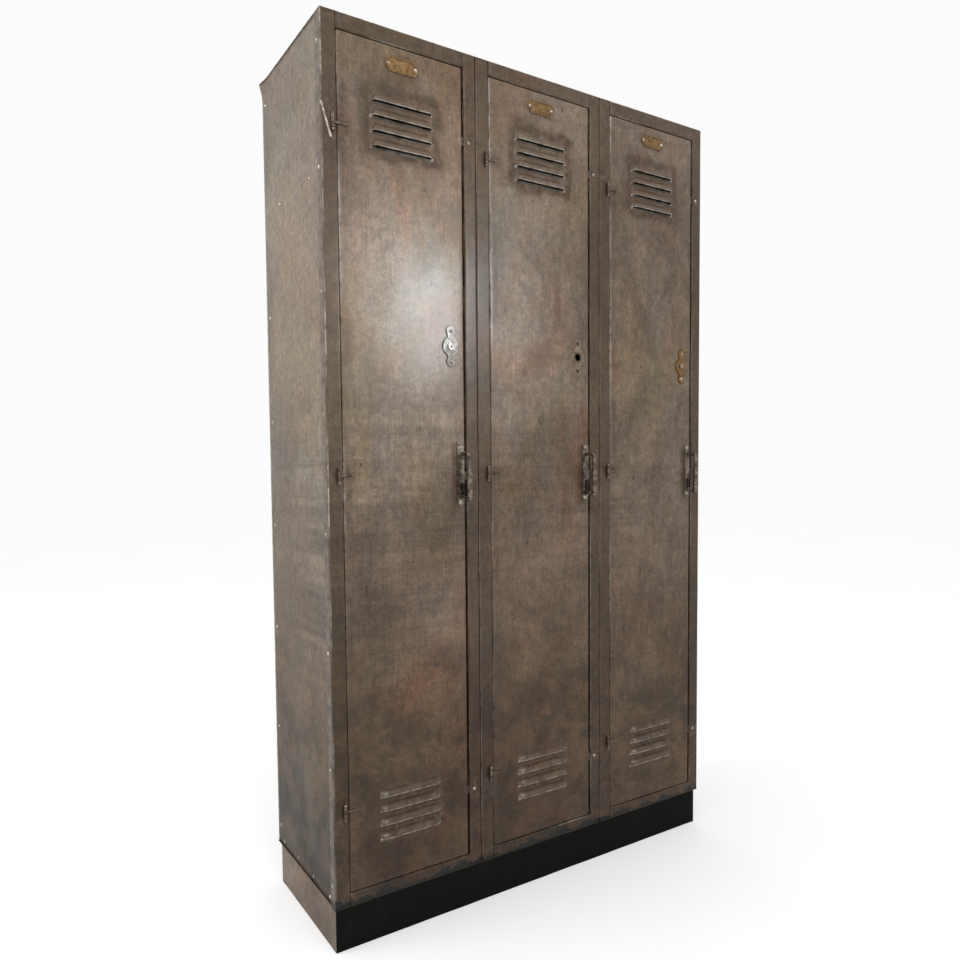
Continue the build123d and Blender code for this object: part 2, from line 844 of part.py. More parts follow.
# ------------------------------------------------------------------- coat hooks
def coat_hook(x_wall, towards):
    """J hook on a small plate, standing on a side wall."""
    x_rod = x_wall + towards * hook_plate_t
    tip_place = (x_rod + towards * hook_reach, hook_y, hook_z + hook_rise)
    with BuildPart() as hook:
        block(
            sorted((x_wall, x_rod)),
            (hook_y - hook_plate_w / 2, hook_y + hook_plate_w / 2),
            (hook_z - hook_plate_below, hook_z + hook_plate_above),
        )
        with BuildLine() as wire:
            FilletPolyline(
                (x_rod - towards * hook_plate_t / 4, hook_y, hook_z),
                (x_rod + towards * hook_reach, hook_y, hook_z),
                tip_place,
                radius=hook_bend_r,
            )
        with BuildSketch(Plane(origin=wire.line @ 0, z_dir=wire.line % 0)):
            Circle(hook_r)
        sweep()
        with Locations(tip_place):
            Sphere(hook_ball_r)
    return hook.part


with BuildPart() as coat_hooks:
    for k in lockers:
        add(coat_hook(inside_left(k), 1))
        add(coat_hook(inside_right(k), -1))
save(coat_hooks.part, "coat_hooks")
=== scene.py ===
"""Looks of a bank of three steel school lockers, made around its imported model.

Everything is in metres, in the model's own frame: X runs along the bank, Y from the doors to
the back, Z up. Sheet metal is worked out as grids of points, pressed, rolled and slightly
dented by formula, and given its thickness by a Solidify modifier.
"""

import logging
import math
from dataclasses import dataclass
from enum import Enum

import bpy
import numpy as np
from mathutils import Matrix, Vector


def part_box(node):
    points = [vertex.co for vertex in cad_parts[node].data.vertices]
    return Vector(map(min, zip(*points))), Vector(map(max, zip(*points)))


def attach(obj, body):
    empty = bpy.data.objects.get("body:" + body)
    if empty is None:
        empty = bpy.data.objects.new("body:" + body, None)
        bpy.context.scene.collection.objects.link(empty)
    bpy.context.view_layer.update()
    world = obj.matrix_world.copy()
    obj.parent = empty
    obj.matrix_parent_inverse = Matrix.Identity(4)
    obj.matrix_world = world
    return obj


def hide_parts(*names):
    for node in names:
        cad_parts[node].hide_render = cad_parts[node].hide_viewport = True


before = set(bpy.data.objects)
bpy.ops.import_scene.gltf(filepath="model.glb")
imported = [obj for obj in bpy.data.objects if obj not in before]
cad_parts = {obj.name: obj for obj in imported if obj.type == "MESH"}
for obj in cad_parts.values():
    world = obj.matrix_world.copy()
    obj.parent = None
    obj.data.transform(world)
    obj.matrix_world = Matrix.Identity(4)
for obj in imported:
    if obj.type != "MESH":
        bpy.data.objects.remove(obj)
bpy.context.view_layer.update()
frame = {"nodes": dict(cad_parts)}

Array = np.ndarray
Colour = tuple[float, float, float]
Pair = tuple[float, float]
Socket = bpy.types.NodeSocket
log = logging.getLogger("lockers")

MM = 0.001
WELD = 1e-6
SHEET = 1.2 * MM
FRAME_SHEET = 1.5 * MM


# ---------------------------------------------------------------------------- the bank's places
@dataclass(frozen=True)
class Bank:
    """Planes and places of the whole bank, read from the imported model."""

    left: float
    right: float
    front: float
    back: float
    top: float
    floor: float
    lockers: int = 3
    sill: float = 22.1
    head: float = 27.5

    @classmethod
    def from_frame(cls) -> "Bank":
        """Reads the planes from the lid and the floor sheet.

        Returns:
            The bank's planes.
        """
        low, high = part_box("top_panel")
        return cls(low.x, high.x, low.y, high.y, high.z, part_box("floor_panel")[0].z)

    @property
    def pitch(self) -> float:
        """Width of one locker's place."""
        return (self.right - self.left) / self.lockers

    @property
    def opening(self) -> tuple[float, float]:
        """Heights of the lower and upper edge of the door openings."""
        return self.floor + SHEET + self.sill * MM, self.top - self.head * MM

    def at(self, locker: int, across: float) -> float:
        """X of a point given in mm from the left edge of a locker's place."""
        return self.left + self.pitch * locker + across * MM


class Side(Enum):
    """Which way something faces along the bank."""

    LEFT = -1
    RIGHT = 1


# ------------------------------------------------------------------------------------ materials
@dataclass(frozen=True)
class Cells:
    """Fractal noise: cells per metre, octaves, what each octave keeps, own warp, stretch and turn."""

    scale: float
    detail: float = 3.0
    rough: float = 0.55
    bend: float = 0.0
    stretch: Colour = (1.0, 1.0, 1.0)
    turn: float = 0.0


class Pattern(Enum):
    """The noises that the finishes are made of."""

    CLOUDS = Cells(3.4, 4.0, 0.55, 0.6)
    BLOTCHES = Cells(17.0, 5.0, 0.66, 0.9, (1.0, 1.0, 0.55))
    GRAIN = Cells(1.0, 4.0, 0.7, stretch=(300.0, 300.0, 20.0))
    HAIRS = Cells(1.0, 2.0, 0.6, stretch=(780.0, 780.0, 52.0))
    SPECKLE = Cells(240.0, 3.0, 0.65)
    MOTTLE = Cells(75.0, 4.0, 0.7, 0.4)
    OLIVE = Cells(4.2, 5.0, 0.62, 0.9, (1.0, 1.0, 0.6), 0.4)
    RED = Cells(5.5, 5.0, 0.62, 0.9, (1.0, 1.0, 0.6), 1.1)
    BLUE = Cells(4.8, 5.0, 0.62, 0.9, (1.0, 1.0, 0.6), 2.0)
    RUBBED = Cells(4.5, 3.0, 0.6)
    STROKES = Cells(1.0, 4.0, 0.7, stretch=(12.0, 12.0, 240.0))
    BANDS = Cells(1.0, 3.0, 0.6, stretch=(1.4, 1.4, 34.0))
    GRIME = Cells(13.0, 5.0, 0.62, 0.15, (1.0, 1.0, 1.2))
    RAGGED = Cells(30.0, 5.0, 0.7, 0.8)
    FILM = Cells(26.0)
    PITS = Cells(62.0, 2.0, 0.5, stretch=(1.0, 1.0, 0.6))
    STRAY_RUST = Cells(9.0, 6.0, 0.72, 1.0)
    FLAKES = Cells(85.0, 4.0, 0.7)
    WORN = Cells(55.0, 4.0, 0.65)
    PAINT_EDGE = Cells(24.0, 6.0, 0.75)
    HANDLED = Cells(120.0, 4.0, 0.6, 0.5)
    SCRATCHES = Cells(1.0, 3.0, 0.6, stretch=(1500.0, 1500.0, 160.0))
    SPECKS = Cells(260.0, 4.0, 0.7)
    BRUSHED = Cells(1.0, 4.0, 0.6, stretch=(14.0, 260.0, 260.0))
    DUST = Cells(11.0, 5.0, 0.65, 0.5)
    FLOOR = Cells(2.0)


class Graph:
    """Short way to wire the nodes of one material."""

    def __init__(self, name: str) -> None:
        """Starts an empty material with a Principled shader.

        Args:
            name: Name of the material.
        """
        self.material = bpy.data.materials.new(name)
        self.material.use_nodes = True
        self.tree = self.material.node_tree
        self.shader = self.tree.nodes["Principled BSDF"]
        self.place = self.node("TexCoord").outputs["Object"]

    def node(self, kind: str, **settings: object) -> bpy.types.Node:
        """Adds a node and sets its properties.

        Args:
            kind: Blender's type name, without the ShaderNode in front.
            settings: Properties to set on it.

        Returns:
            The new node.
        """
        made = self.tree.nodes.new("ShaderNode" + kind)
        for key, value in settings.items():
            setattr(made, key, value)
        return made

    def feed(self, socket: Socket, value: object) -> None:
        """Links a socket into an input, or sets the input to a plain value.

        Args:
            socket: The input.
            value: An output socket, a number or a colour.
        """
        if isinstance(value, Socket):
            self.tree.links.new(value, socket)
        elif isinstance(value, tuple) and len(value) == 3 and socket.type == "RGBA":
            socket.default_value = (*value, 1.0)
        else:
            socket.default_value = value

    def stretched(self, scale: Colour, turn: Colour) -> Socket:
        """Object coordinates scaled differently along each axis.

        Args:
            scale: Factor along each axis.
            turn: Turn about each axis, in radians.

        Returns:
            The scaled coordinates.
        """
        mapping = self.node("Mapping")
        self.feed(mapping.inputs["Vector"], self.place)
        mapping.inputs["Scale"].default_value = scale
        mapping.inputs["Rotation"].default_value = turn
        return mapping.outputs["Vector"]

    def noise(self, pattern: Pattern, turn: Colour | None = None) -> Socket:
        """One of the noises, from 0 to 1.

        Args:
            pattern: Which noise.
            turn: Turn about each axis, instead of the pattern's own about Z.

        Returns:
            The noise value.
        """
        cells = pattern.value
        made = self.node("TexNoise")
        plain = cells.stretch == (1.0, 1.0, 1.0)
        vector = self.place if plain else self.stretched(cells.stretch, turn or (0.0, 0.0, cells.turn))
        self.feed(made.inputs["Vector"], vector)
        made.inputs["Scale"].default_value = cells.scale
        made.inputs["Detail"].default_value = cells.detail
        made.inputs["Roughness"].default_value = cells.rough
        made.inputs["Distortion"].default_value = cells.bend
        return made.outputs["Fac"]

    def spread(self, value: object, low: float, high: float,
               to_low: float = 0.0, to_high: float = 1.0) -> Socket:
        """Maps a range of a value smoothly onto another range, clamped.

        Args:
            value: What to map.
            low: Value that gives to_low.
            high: Value that gives to_high.
            to_low: Result at the low end.
            to_high: Result at the high end.

        Returns:
            The mapped value.
        """
        made = self.node("MapRange", interpolation_type="SMOOTHSTEP")
        keys = ("Value", "From Min", "From Max", "To Min", "To Max")
        for key, given in zip(keys, (value, low, high, to_low, to_high)):
            self.feed(made.inputs[key], given)
        return made.outputs["Result"]

    def work_out(self, operation: str, first: object, second: object, clamp: bool) -> Socket:
        """One sum on two values.

        Args:
            operation: Blender's name for it, such as MULTIPLY.
            first: First value.
            second: Second value.
            clamp: Whether to hold the result between 0 and 1.

        Returns:
            The result.
        """
        made = self.node("Math", operation=operation, use_clamp=clamp)
        self.feed(made.inputs[0], first)
        self.feed(made.inputs[1], second)
        return made.outputs[0]

    def plus(self, first: object, second: object, clamp: bool = False) -> Socket:
        """First value plus the second."""
        return self.work_out("ADD", first, second, clamp)

    def minus(self, first: object, second: object, clamp: bool = False) -> Socket:
        """First value less the second."""
        return self.work_out("SUBTRACT", first, second, clamp)

    def times(self, first: object, second: object, clamp: bool = False) -> Socket:
        """First value times the second."""
        return self.work_out("MULTIPLY", first, second, clamp)

    def blend(self, share: object, first: object, second: object, how: str = "MIX") -> Socket:
        """Mixes two colours.

        Args:
            share: How much of the second colour.
            first: First colour.
            second: Second colour.
            how: Blender's blend type.

        Returns:
            The mixed colour.
        """
        made = self.node("Mix", data_type="RGBA", blend_type=how)
        self.feed(made.inputs[0], share)
        self.feed(made.inputs[6], first)
        self.feed(made.inputs[7], second)
        return made.outputs[2]

    def cast(self, colour: object, factor: object, share: object = 1.0) -> Socket:
        """The colour multiplied by a factor or another colour, as far as the share."""
        return self.blend(share, colour, factor, "MULTIPLY")

    def mark(self, name: str) -> Socket:
        """A mark that the mesh carries at each point, or 0 where it has none."""
        return self.node("Attribute", attribute_name=name).outputs["Fac"]

    def height(self) -> Socket:
        """Height of the shaded point above the floor."""
        split = self.node("SeparateXYZ")
        self.feed(split.inputs[0], self.place)
        return split.outputs["Z"]

    def bump(self, height: Socket, distance: float) -> None:
        """Gives the shader a fine relief.

        Args:
            height: Height of the relief, 0 to 1.
            distance: How many metres a height of 1 stands for.
        """
        made = self.node("Bump")
        made.inputs["Distance"].default_value = distance
        self.feed(made.inputs["Height"], height)
        self.feed(self.shader.inputs["Normal"], made.outputs["Normal"])

    def shade(self, **values: object) -> bpy.types.Material:
        """Sets or links the shader's inputs, named with underscores.

        Args:
            values: Input name and its value or socket.

        Returns:
            The finished material.
        """
        for key, value in values.items():
            self.feed(self.shader.inputs[key.replace("_", " ")], value)
        return self.material


@dataclass(frozen=True)
class BareSteel:
    """Old sheet steel, stripped of its paint, brushed, rusted in places and lacquered."""

    name: str
    pale: Colour = (0.238, 0.178, 0.134)
    dark: Colour = (0.108, 0.074, 0.050)
    olive: Colour = (0.98, 0.94, 0.74)
    red: Colour = (1.08, 0.88, 0.78)
    blue: Colour = (0.88, 0.95, 1.02)
    # Dark film colours, for real smoke and stains and also for painted shade and shadow.
    brown_film_and_shade: Colour = (0.058, 0.042, 0.017)
    red_film_and_shade: Colour = (0.076, 0.026, 0.012)
    pit: Colour = (0.028, 0.02, 0.016)
    dark_rust: Colour = (0.046, 0.029, 0.018)
    pale_rust: Colour = (0.135, 0.078, 0.046)
    # Colour of worn steel, also used for painted highlights.
    worn: Colour = (0.62, 0.57, 0.51)
    warm_foot: Colour = (1.20, 1.02, 0.84)
    clean_foot: Colour = (1.42, 1.32, 1.12)
    grimy_foot: Colour = (0.48, 0.48, 0.34)
    base_paint: Colour = (0.007, 0.0075, 0.007)
    # Share of the tone kept at the foot: painted shade that darkens the sheet downwards.
    painted_foot_shade: float = 0.32
    rust: float = 0.8
    rough: float = 0.48
    lacquer: float = 0.36
    lacquer_rough: float = 0.25
    painted_edge: bool = False
    paint_top: float = 83.5 * MM
    bands: float = 0.17
    grime: float = 1.0

    def material(self) -> bpy.types.Material:
        """Wires the steel: its tone, smoke with painted shade, pits, rust, worn edges with painted
        highlights, paint, gloss and relief.

        Returns:
            The material.
        """
        g = Graph(self.name)
        blotches, grain, speckle = (g.noise(p) for p in (Pattern.BLOTCHES, Pattern.GRAIN, Pattern.SPECKLE))
        steel = self.brushed(g, blotches, grain, speckle)
        steel = self.foot_film(g, steel)

        ragged = g.noise(Pattern.RAGGED)
        # The stain mark darkens the steel towards the film colours: real smoke and stains, and painted shade
        # and shadow.
        smoke_and_shade = g.times(g.mark("stain_and_shade"), g.spread(ragged, 0.33, 0.60, 0.35, 1.25), clamp=True)
        film = g.blend(g.spread(g.noise(Pattern.FILM), 0.42, 0.58), self.brown_film_and_shade, self.red_film_and_shade)
        steel = g.blend(g.times(smoke_and_shade, 0.84), steel, film)
        pits = g.spread(g.noise(Pattern.PITS), 0.715, 0.76)
        steel = g.blend(g.times(pits, 0.6), steel, self.pit)

        reach = g.times(g.mark("rust"), g.spread(ragged, 0.28, 0.66, 0.25, 1.5))
        stray = g.spread(g.noise(Pattern.STRAY_RUST), 0.60, 0.78, 0.0, 0.55)
        rust = g.times(g.plus(reach, stray), self.rust, clamp=True)
        flakes = g.spread(g.noise(Pattern.FLAKES), 0.38, 0.66)
        colour = g.blend(rust, steel, g.blend(flakes, self.dark_rust, self.pale_rust))
        # The wear mark brightens the steel: real wear, and painted highlights.
        worn = g.times(g.mark("wear_and_highlight"), g.spread(g.noise(Pattern.WORN), 0.36, 0.60, 0.15, 1.0), clamp=True)
        colour = g.blend(worn, colour, self.worn)

        metal = g.minus(0.30, g.times(rust, 0.25), clamp=True)
        rough = g.spread(blotches, 0.3, 0.7, self.rough - 0.05, self.rough + 0.09)
        rough = g.plus(rough, g.minus(g.times(rust, 0.22), g.times(worn, 0.14)))
        if self.painted_edge:
            edge = g.spread(g.noise(Pattern.PAINT_EDGE), 0.3, 0.7, -11.0 * MM, 8.0 * MM)
            paint = g.spread(g.plus(g.height(), edge), self.paint_top + 0.4 * MM, self.paint_top - 0.3 * MM)
            colour = g.blend(paint, colour, self.base_paint)
            metal = g.minus(metal, paint, clamp=True)
            rough = g.plus(rough, g.times(paint, 0.2))
        relief = g.plus(g.times(grain, 0.30), g.times(g.noise(Pattern.HAIRS), 0.14))
        relief = g.plus(relief, g.times(blotches, 0.9))
        relief = g.minus(relief, g.times(pits, 0.8))
        relief = g.plus(relief, g.times(g.times(rust, speckle), 0.5))
        g.bump(relief, 0.22 * MM)
        return g.shade(Base_Color=colour, Metallic=metal, Roughness=rough, Specular_IOR_Level=0.35,
                       Coat_Weight=self.lacquer, Coat_Roughness=self.lacquer_rough, Coat_IOR=1.45)

    def brushed(self, g: Graph, blotches: Socket, grain: Socket, speckle: Socket) -> Socket:
        """Tone of the bare sheet: clouds, casts of heat and old films, grain, rubs, and painted shade that
        darkens it towards the foot.

        Args:
            g: The material's graph.
            blotches: Blotchy noise.
            grain: Brushed noise.
            speckle: Finest noise.

        Returns:
            The colour.
        """
        tone = g.plus(g.times(g.noise(Pattern.CLOUDS), 0.62), g.times(blotches, 0.38))
        steel = g.blend(g.spread(tone, 0.33, 0.67), self.dark, self.pale)
        casts = ((Pattern.OLIVE, self.olive), (Pattern.RED, self.red), (Pattern.BLUE, self.blue))
        for pattern, colour in casts:
            steel = g.cast(steel, colour, g.spread(g.noise(pattern), 0.47, 0.66))
        steel = g.cast(steel, g.spread(grain, 0.25, 0.75, 0.84, 1.16))
        steel = g.cast(steel, g.spread(g.noise(Pattern.MOTTLE), 0.30, 0.70, 0.80, 1.20))
        steel = g.cast(steel, g.spread(speckle, 0.3, 0.7, 0.84, 1.16))
        steel = self.level_rubs(g, steel)
        # Painted shade: the colour darkens from the top down to the foot.
        return g.cast(steel, g.spread(g.height(), 0.02, 1.10, self.painted_foot_shade, 1.0))

    def foot_film(self, g: Graph, steel: Socket) -> Socket:
        """Warms the lower half of the sheet and leaves dark greenish blotches near the floor.

        Args:
            g: The material's graph.
            steel: Colour so far.

        Returns:
            The colour under the film.
        """
        steel = g.cast(steel, self.warm_foot, g.spread(g.height(), 0.90, 0.30))
        blotch = g.spread(g.noise(Pattern.GRIME), 0.42, 0.62)
        patchy = g.blend(blotch, self.clean_foot, self.grimy_foot)
        return g.cast(steel, patchy, g.times(g.spread(g.height(), 0.66, 0.12), self.grime))

    def level_rubs(self, g: Graph, steel: Socket) -> Socket:
        """Rubs the middle heights of the sheet along the level, in soft bands and fine strokes.

        Args:
            g: The material's graph.
            steel: Colour so far.

        Returns:
            The rubbed colour.
        """
        middle = g.times(g.spread(g.height(), 0.36, 0.60), g.spread(g.height(), 1.15, 0.80))
        patch = g.spread(g.noise(Pattern.RUBBED), 0.42, 0.60, 0.15, 1.0)
        strokes = g.spread(g.noise(Pattern.STROKES), 0.3, 0.7, 0.93, 1.07)
        bands = g.spread(g.noise(Pattern.BANDS), 0.3, 0.7, 1.0 - self.bands, 1.0 + self.bands)
        return g.cast(steel, g.times(strokes, bands), g.times(middle, patch))


@dataclass(frozen=True)
class HandledMetal:
    """Small fitting polished by hands on its high places and dull in its low ones."""

    name: str
    bright: Colour
    dull: Colour
    rough: float
    rust: float = 0.5
    grime: Colour = (0.075, 0.043, 0.026)

    def material(self) -> bpy.types.Material:
        """Wires the metal: patches of polish, dull film, specks of rust and fine scratches.

        Returns:
            The material.
        """
        g = Graph(self.name)
        film, scratches = g.noise(Pattern.HANDLED), g.noise(Pattern.SCRATCHES, turn=(0.3, 0.2, 0.1))
        colour = g.blend(g.spread(film, 0.36, 0.62), self.bright, self.dull)
        colour = g.cast(colour, g.spread(scratches, 0.3, 0.7, 0.84, 1.1))
        specks = g.spread(g.noise(Pattern.SPECKS), 0.56, 0.70, 0.0, self.rust)
        grime = g.plus(specks, g.times(g.mark("rust"), 0.9), clamp=True)
        colour = g.blend(grime, colour, self.grime)
        polished = tuple(min(1.0, 1.35 * c) for c in self.bright)
        colour = g.blend(g.times(g.mark("wear_and_highlight"), 0.8), colour, polished)
        rough = g.spread(film, 0.3, 0.7, self.rough - 0.06, self.rough + 0.12)
        g.bump(g.plus(g.times(scratches, 0.3), film), 0.08 * MM)
        return g.shade(Base_Color=colour, Roughness=g.plus(rough, g.times(grime, 0.3)), Metallic=0.95,
                       Coat_Weight=0.25, Coat_Roughness=0.15)


@dataclass(frozen=True)
class BlackPaint:
    """Matte black paint, brushed on by hand over steel."""

    name: str
    colour: Colour = (0.005, 0.0055, 0.005)
    dusty: Colour = (0.016, 0.015, 0.013)
    rubbed: Colour = (0.012, 0.012, 0.012)

    def material(self) -> bpy.types.Material:
        """Wires the paint: level brush marks, dust and a few greyer rubs.

        Returns:
            The material.
        """
        g = Graph(self.name)
        strokes, dust = g.noise(Pattern.BRUSHED), g.noise(Pattern.DUST)
        colour = g.blend(g.spread(dust, 0.48, 0.78, 0.0, 0.5), self.colour, self.dusty)
        colour = g.blend(g.spread(strokes, 0.55, 0.8, 0.0, 0.4), colour, self.rubbed)
        g.bump(g.plus(strokes, g.times(dust, 0.5)), 0.25 * MM)
        rough = g.spread(dust, 0.3, 0.7, 0.66, 0.82)
        return g.shade(Base_Color=colour, Roughness=rough, Specular_IOR_Level=0.08)


@dataclass(frozen=True)
class PaleFloor:
    """Plain pale studio floor."""

    name: str = "pale_floor"
    colour: Colour = (0.86, 0.872, 0.888)
    glow: float = 0.285

    def material(self) -> bpy.types.Material:
        """Wires a plain matte surface with a breath of tone.

        Returns:
            The material.
        """
        g = Graph(self.name)
        tone = g.spread(g.noise(Pattern.FLOOR), 0.3, 0.7)
        colour = g.blend(tone, self.colour, tuple(c * 0.985 for c in self.colour))
        seen = g.times(g.node("LightPath").outputs["Is Camera Ray"], self.glow)
        return g.shade(Base_Color=colour, Roughness=0.8, Specular_IOR_Level=0.0,
                       Emission_Color=(1.0, 1.0, 1.0), Emission_Strength=seen)


Finish = BareSteel | HandledMetal | BlackPaint | PaleFloor


class Finishes:
    """The object's finishes, each made once and kept by name."""

    door = BareSteel("stripped_door_steel")
    frame = BareSteel("stripped_frame_steel", (0.125, 0.088, 0.057), (0.060, 0.040, 0.025), painted_edge=True)
    end = BareSteel("stripped_end_sheet_steel", (0.285, 0.230, 0.184), (0.170, 0.136, 0.108),
                    (0.97, 0.97, 0.84), (1.04, 0.93, 0.88), painted_foot_shade=0.16, rust=0.3, lacquer=0.15, bands=0.38)
    inner = BareSteel("inner_sheet_steel", (0.22, 0.18, 0.14), (0.10, 0.076, 0.056), rust=0.9,
                      lacquer=0.1, rough=0.5, grime=0.5)
    base = BareSteel("stripped_base_steel", (0.20, 0.165, 0.135), (0.12, 0.095, 0.075), painted_foot_shade=0.7,
                     rust=0.4, grime=0.5)
    paint = BlackPaint("brushed_black_paint")
    handle = HandledMetal("polished_handle_steel", (0.30, 0.25, 0.205), (0.10, 0.074, 0.056), 0.33)
    hinge = HandledMetal("browned_hinge_steel", (0.20, 0.155, 0.118), (0.075, 0.054, 0.040), 0.42)
    pin = HandledMetal("rubbed_pin_steel", (0.42, 0.37, 0.31), (0.15, 0.115, 0.088), 0.34)
    latch = HandledMetal("dull_latch_steel", (0.13, 0.105, 0.085), (0.055, 0.042, 0.033), 0.46)
    lock = HandledMetal("lacquered_lock_steel", (0.29, 0.245, 0.205), (0.155, 0.125, 0.10), 0.54)
    plug = HandledMetal("worn_plug_steel", (0.46, 0.42, 0.37), (0.22, 0.185, 0.155), 0.42)
    rivet = HandledMetal("rivet_head_steel", (0.62, 0.57, 0.50), (0.27, 0.225, 0.18), 0.30)
    brass = HandledMetal("aged_brass", (0.33, 0.195, 0.080), (0.17, 0.098, 0.040), 0.40, 0.3)
    _made: dict[str, bpy.types.Material] = {}

    @classmethod
    def get(cls, finish: Finish) -> bpy.types.Material:
        """The finish's material, made the first time it is asked for."""
        if finish.name not in cls._made:
            cls._made[finish.name] = finish.material()
        return cls._made[finish.name]


# ------------------------------------------------------------------------------- surface tools
class Shell:
    """A mesh gathered from grids of points, which are welded where their edges meet."""

    def __init__(self) -> None:
        """Starts with no points."""
        self.points: list[Array] = []
        self.quads: list[Array] = []
        # The wear mark also carries painted highlights, and the stain mark painted shade and shadow.
        self.marks: dict[str, list[Array]] = {"rust": [], "wear_and_highlight": [], "stain_and_shade": []}
        self.count = 0

    def add(self, points: Array, keep: Array | None = None, rust: Array | float = 0.0,
            wear_and_highlight: Array | float = 0.0, stain_and_shade: Array | float = 0.0,
            wrap: bool = False, flip: bool = False) -> None:
        """Adds one grid. A cell faces along its column direction crossed with its row direction.

        Args:
            points: Grid of shape (rows, columns, 3).
            keep: Which cells are there, of shape (rows - 1, columns - 1).
            rust: Rust mark at each point, or everywhere.
            wear_and_highlight: Wear mark at each point, or everywhere; it also carries painted highlights.
            stain_and_shade: Stain mark at each point, or everywhere; it also carries painted shade and
                shadow.
            wrap: Whether the last column joins the first.
            flip: Whether the cells face the other way.
        """
        rows, columns = points.shape[:2]
        index = np.arange(rows * columns).reshape(rows, columns) + self.count
        if wrap:
            index = np.concatenate([index, index[:, :1]], axis=1)
        corners = [index[:-1, :-1], index[:-1, 1:], index[1:, 1:], index[1:, :-1]]
        quads = np.stack(corners[::-1] if flip else corners, axis=-1)
        self.quads.append(quads.reshape(-1, 4) if keep is None else quads[keep])
        self.points.append(points.reshape(-1, 3))
        for name, value in (("rust", rust), ("wear_and_highlight", wear_and_highlight), ("stain_and_shade", stain_and_shade)):
            self.marks[name].append(np.broadcast_to(value, (rows, columns)).reshape(-1))
        self.count += rows * columns

    def add_triangles(self, points: Array, triangles: Array, wear_and_highlight: float = 0.0) -> None:
        """Adds loose triangles, each kept as a cell whose last corner is doubled.

        Args:
            points: Points, of shape (n, 3).
            triangles: Indices of corners, of shape (m, 3).
            wear_and_highlight: Wear mark of every point.
        """
        self.quads.append(triangles[:, [0, 1, 2, 2]] + self.count)
        self.points.append(points)
        for name, value in (("rust", 0.0), ("wear_and_highlight", wear_and_highlight), ("stain_and_shade", 0.0)):
            self.marks[name].append(np.full(len(points), value))
        self.count += len(points)

    def mesh(self, name: str) -> bpy.types.Mesh:
        """Welds equal points, drops cells that have shrunk away, and makes the mesh.

        Args:
            name: Name of the mesh.

        Returns:
            The mesh, smooth, with its marks as point attributes.
        """
        points = np.concatenate(self.points)
        cells = np.round(points / WELD).astype(np.int64)
        _, first, same = np.unique(cells, axis=0, return_index=True, return_inverse=True)
        quads = same.reshape(-1)[np.concatenate(self.quads)]
        quads = quads[(quads[:, 0] != quads[:, 2]) & (quads[:, 1] != quads[:, 3])]
        repeated = quads == np.roll(quads, -1, axis=1)
        doubled = repeated.sum(axis=1)
        thin = doubled == 1
        triangles = quads[thin][~repeated[thin]].reshape(-1, 3)
        mesh = bpy.data.meshes.new(name)
        mesh.from_pydata(points[first], [], quads[doubled == 0].tolist() + triangles.tolist())
        for mark, values in self.marks.items():
            layer = mesh.attributes.new(mark, "FLOAT", "POINT")
            layer.data.foreach_set("value", np.concatenate(values)[first].astype(np.float32))
        mesh.shade_smooth()
        mesh.update()
        return mesh

    def piece(self, name: str, finish: Finish, body: str, slot: str, replaces: tuple[str, ...] = (),
              thickness: float = 0.0) -> bpy.types.Object:
        """Makes the finished piece, hangs it on its CAD body's empty and hides the CAD nodes that it stands
        for.

        Args:
            name: Name of the piece.
            finish: Its finish.
            body: CAD body that it rides on.
            slot: The record's material slot; not used.
            replaces: CAD nodes that it stands for.
            thickness: Sheet thickness to give it behind its face, or 0 for a closed shape.

        Returns:
            The piece.
        """
        made = bpy.data.objects.new(name, self.mesh(name))
        bpy.context.scene.collection.objects.link(made)
        made.data.materials.append(Finishes.get(finish))
        if thickness:
            solid = made.modifiers.new("sheet", "SOLIDIFY")
            solid.thickness = thickness
            solid.offset = -1.0
            solid.use_even_offset = True
        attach(made, body)
        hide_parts(*replaces)
        log.info("%s: %d points, on %s", name, len(made.data.vertices), body)
        return made


def spaced(lines: list[float], step: float) -> Array:
    """Grid lines that include the given ones, with the gaps between them divided evenly.

    Args:
        lines: Places where a line must be.
        step: Widest gap.

    Returns:
        All lines in order.
    """
    fixed = np.unique(np.round(np.array(lines), 7))
    gaps = [(a, b, max(1, math.ceil((b - a) / step))) for a, b in zip(fixed, fixed[1:])]
    runs = [np.linspace(a, b, parts, endpoint=False) for a, b, parts in gaps]
    return np.concatenate([*runs, fixed[-1:]])


@dataclass(frozen=True)
class Ripple:
    """Slow unevenness of rolled sheet: plane waves of random length, direction and phase."""

    seed: int
    depth: float
    size: float
    waves: int = 7

    def at(self, u: Array, v: Array) -> Array:
        """Adds up the waves: each is the sine of the distance along its own direction.

        Args:
            u: First coordinate.
            v: Second coordinate.

        Returns:
            Height of the unevenness.
        """
        rng = np.random.default_rng(self.seed)
        total = np.zeros(np.broadcast(u, v).shape)
        for angle, stretch, phase in rng.uniform((0, 0.6, 0), (math.pi, 1.9, 2 * math.pi), (self.waves, 3)):
            along = u * math.cos(angle) + v * math.sin(angle)
            total = total + np.sin(2 * math.pi * along / (self.size * stretch) + phase)
        return self.depth * total / math.sqrt(self.waves)


def near(distance: Array, reach: float) -> Array:
    """Bell curve of a distance: 1 at nothing, falling away over the reach."""
    return np.exp(-((distance / reach) ** 2))


def outside(u: Array, v: Array, u_range: tuple[float, float], v_range: tuple[float, float]) -> Array:
    """Distance of points from a rectangle, 0 inside it.

    Args:
        u: First coordinate.
        v: Second coordinate.
        u_range: The rectangle's range of u.
        v_range: The rectangle's range of v.

    Returns:
        The distance.
    """
    du = np.maximum(np.maximum(u_range[0] - u, u - u_range[1]), 0)
    dv = np.maximum(np.maximum(v_range[0] - v, v - v_range[1]), 0)
    return np.hypot(du, dv)


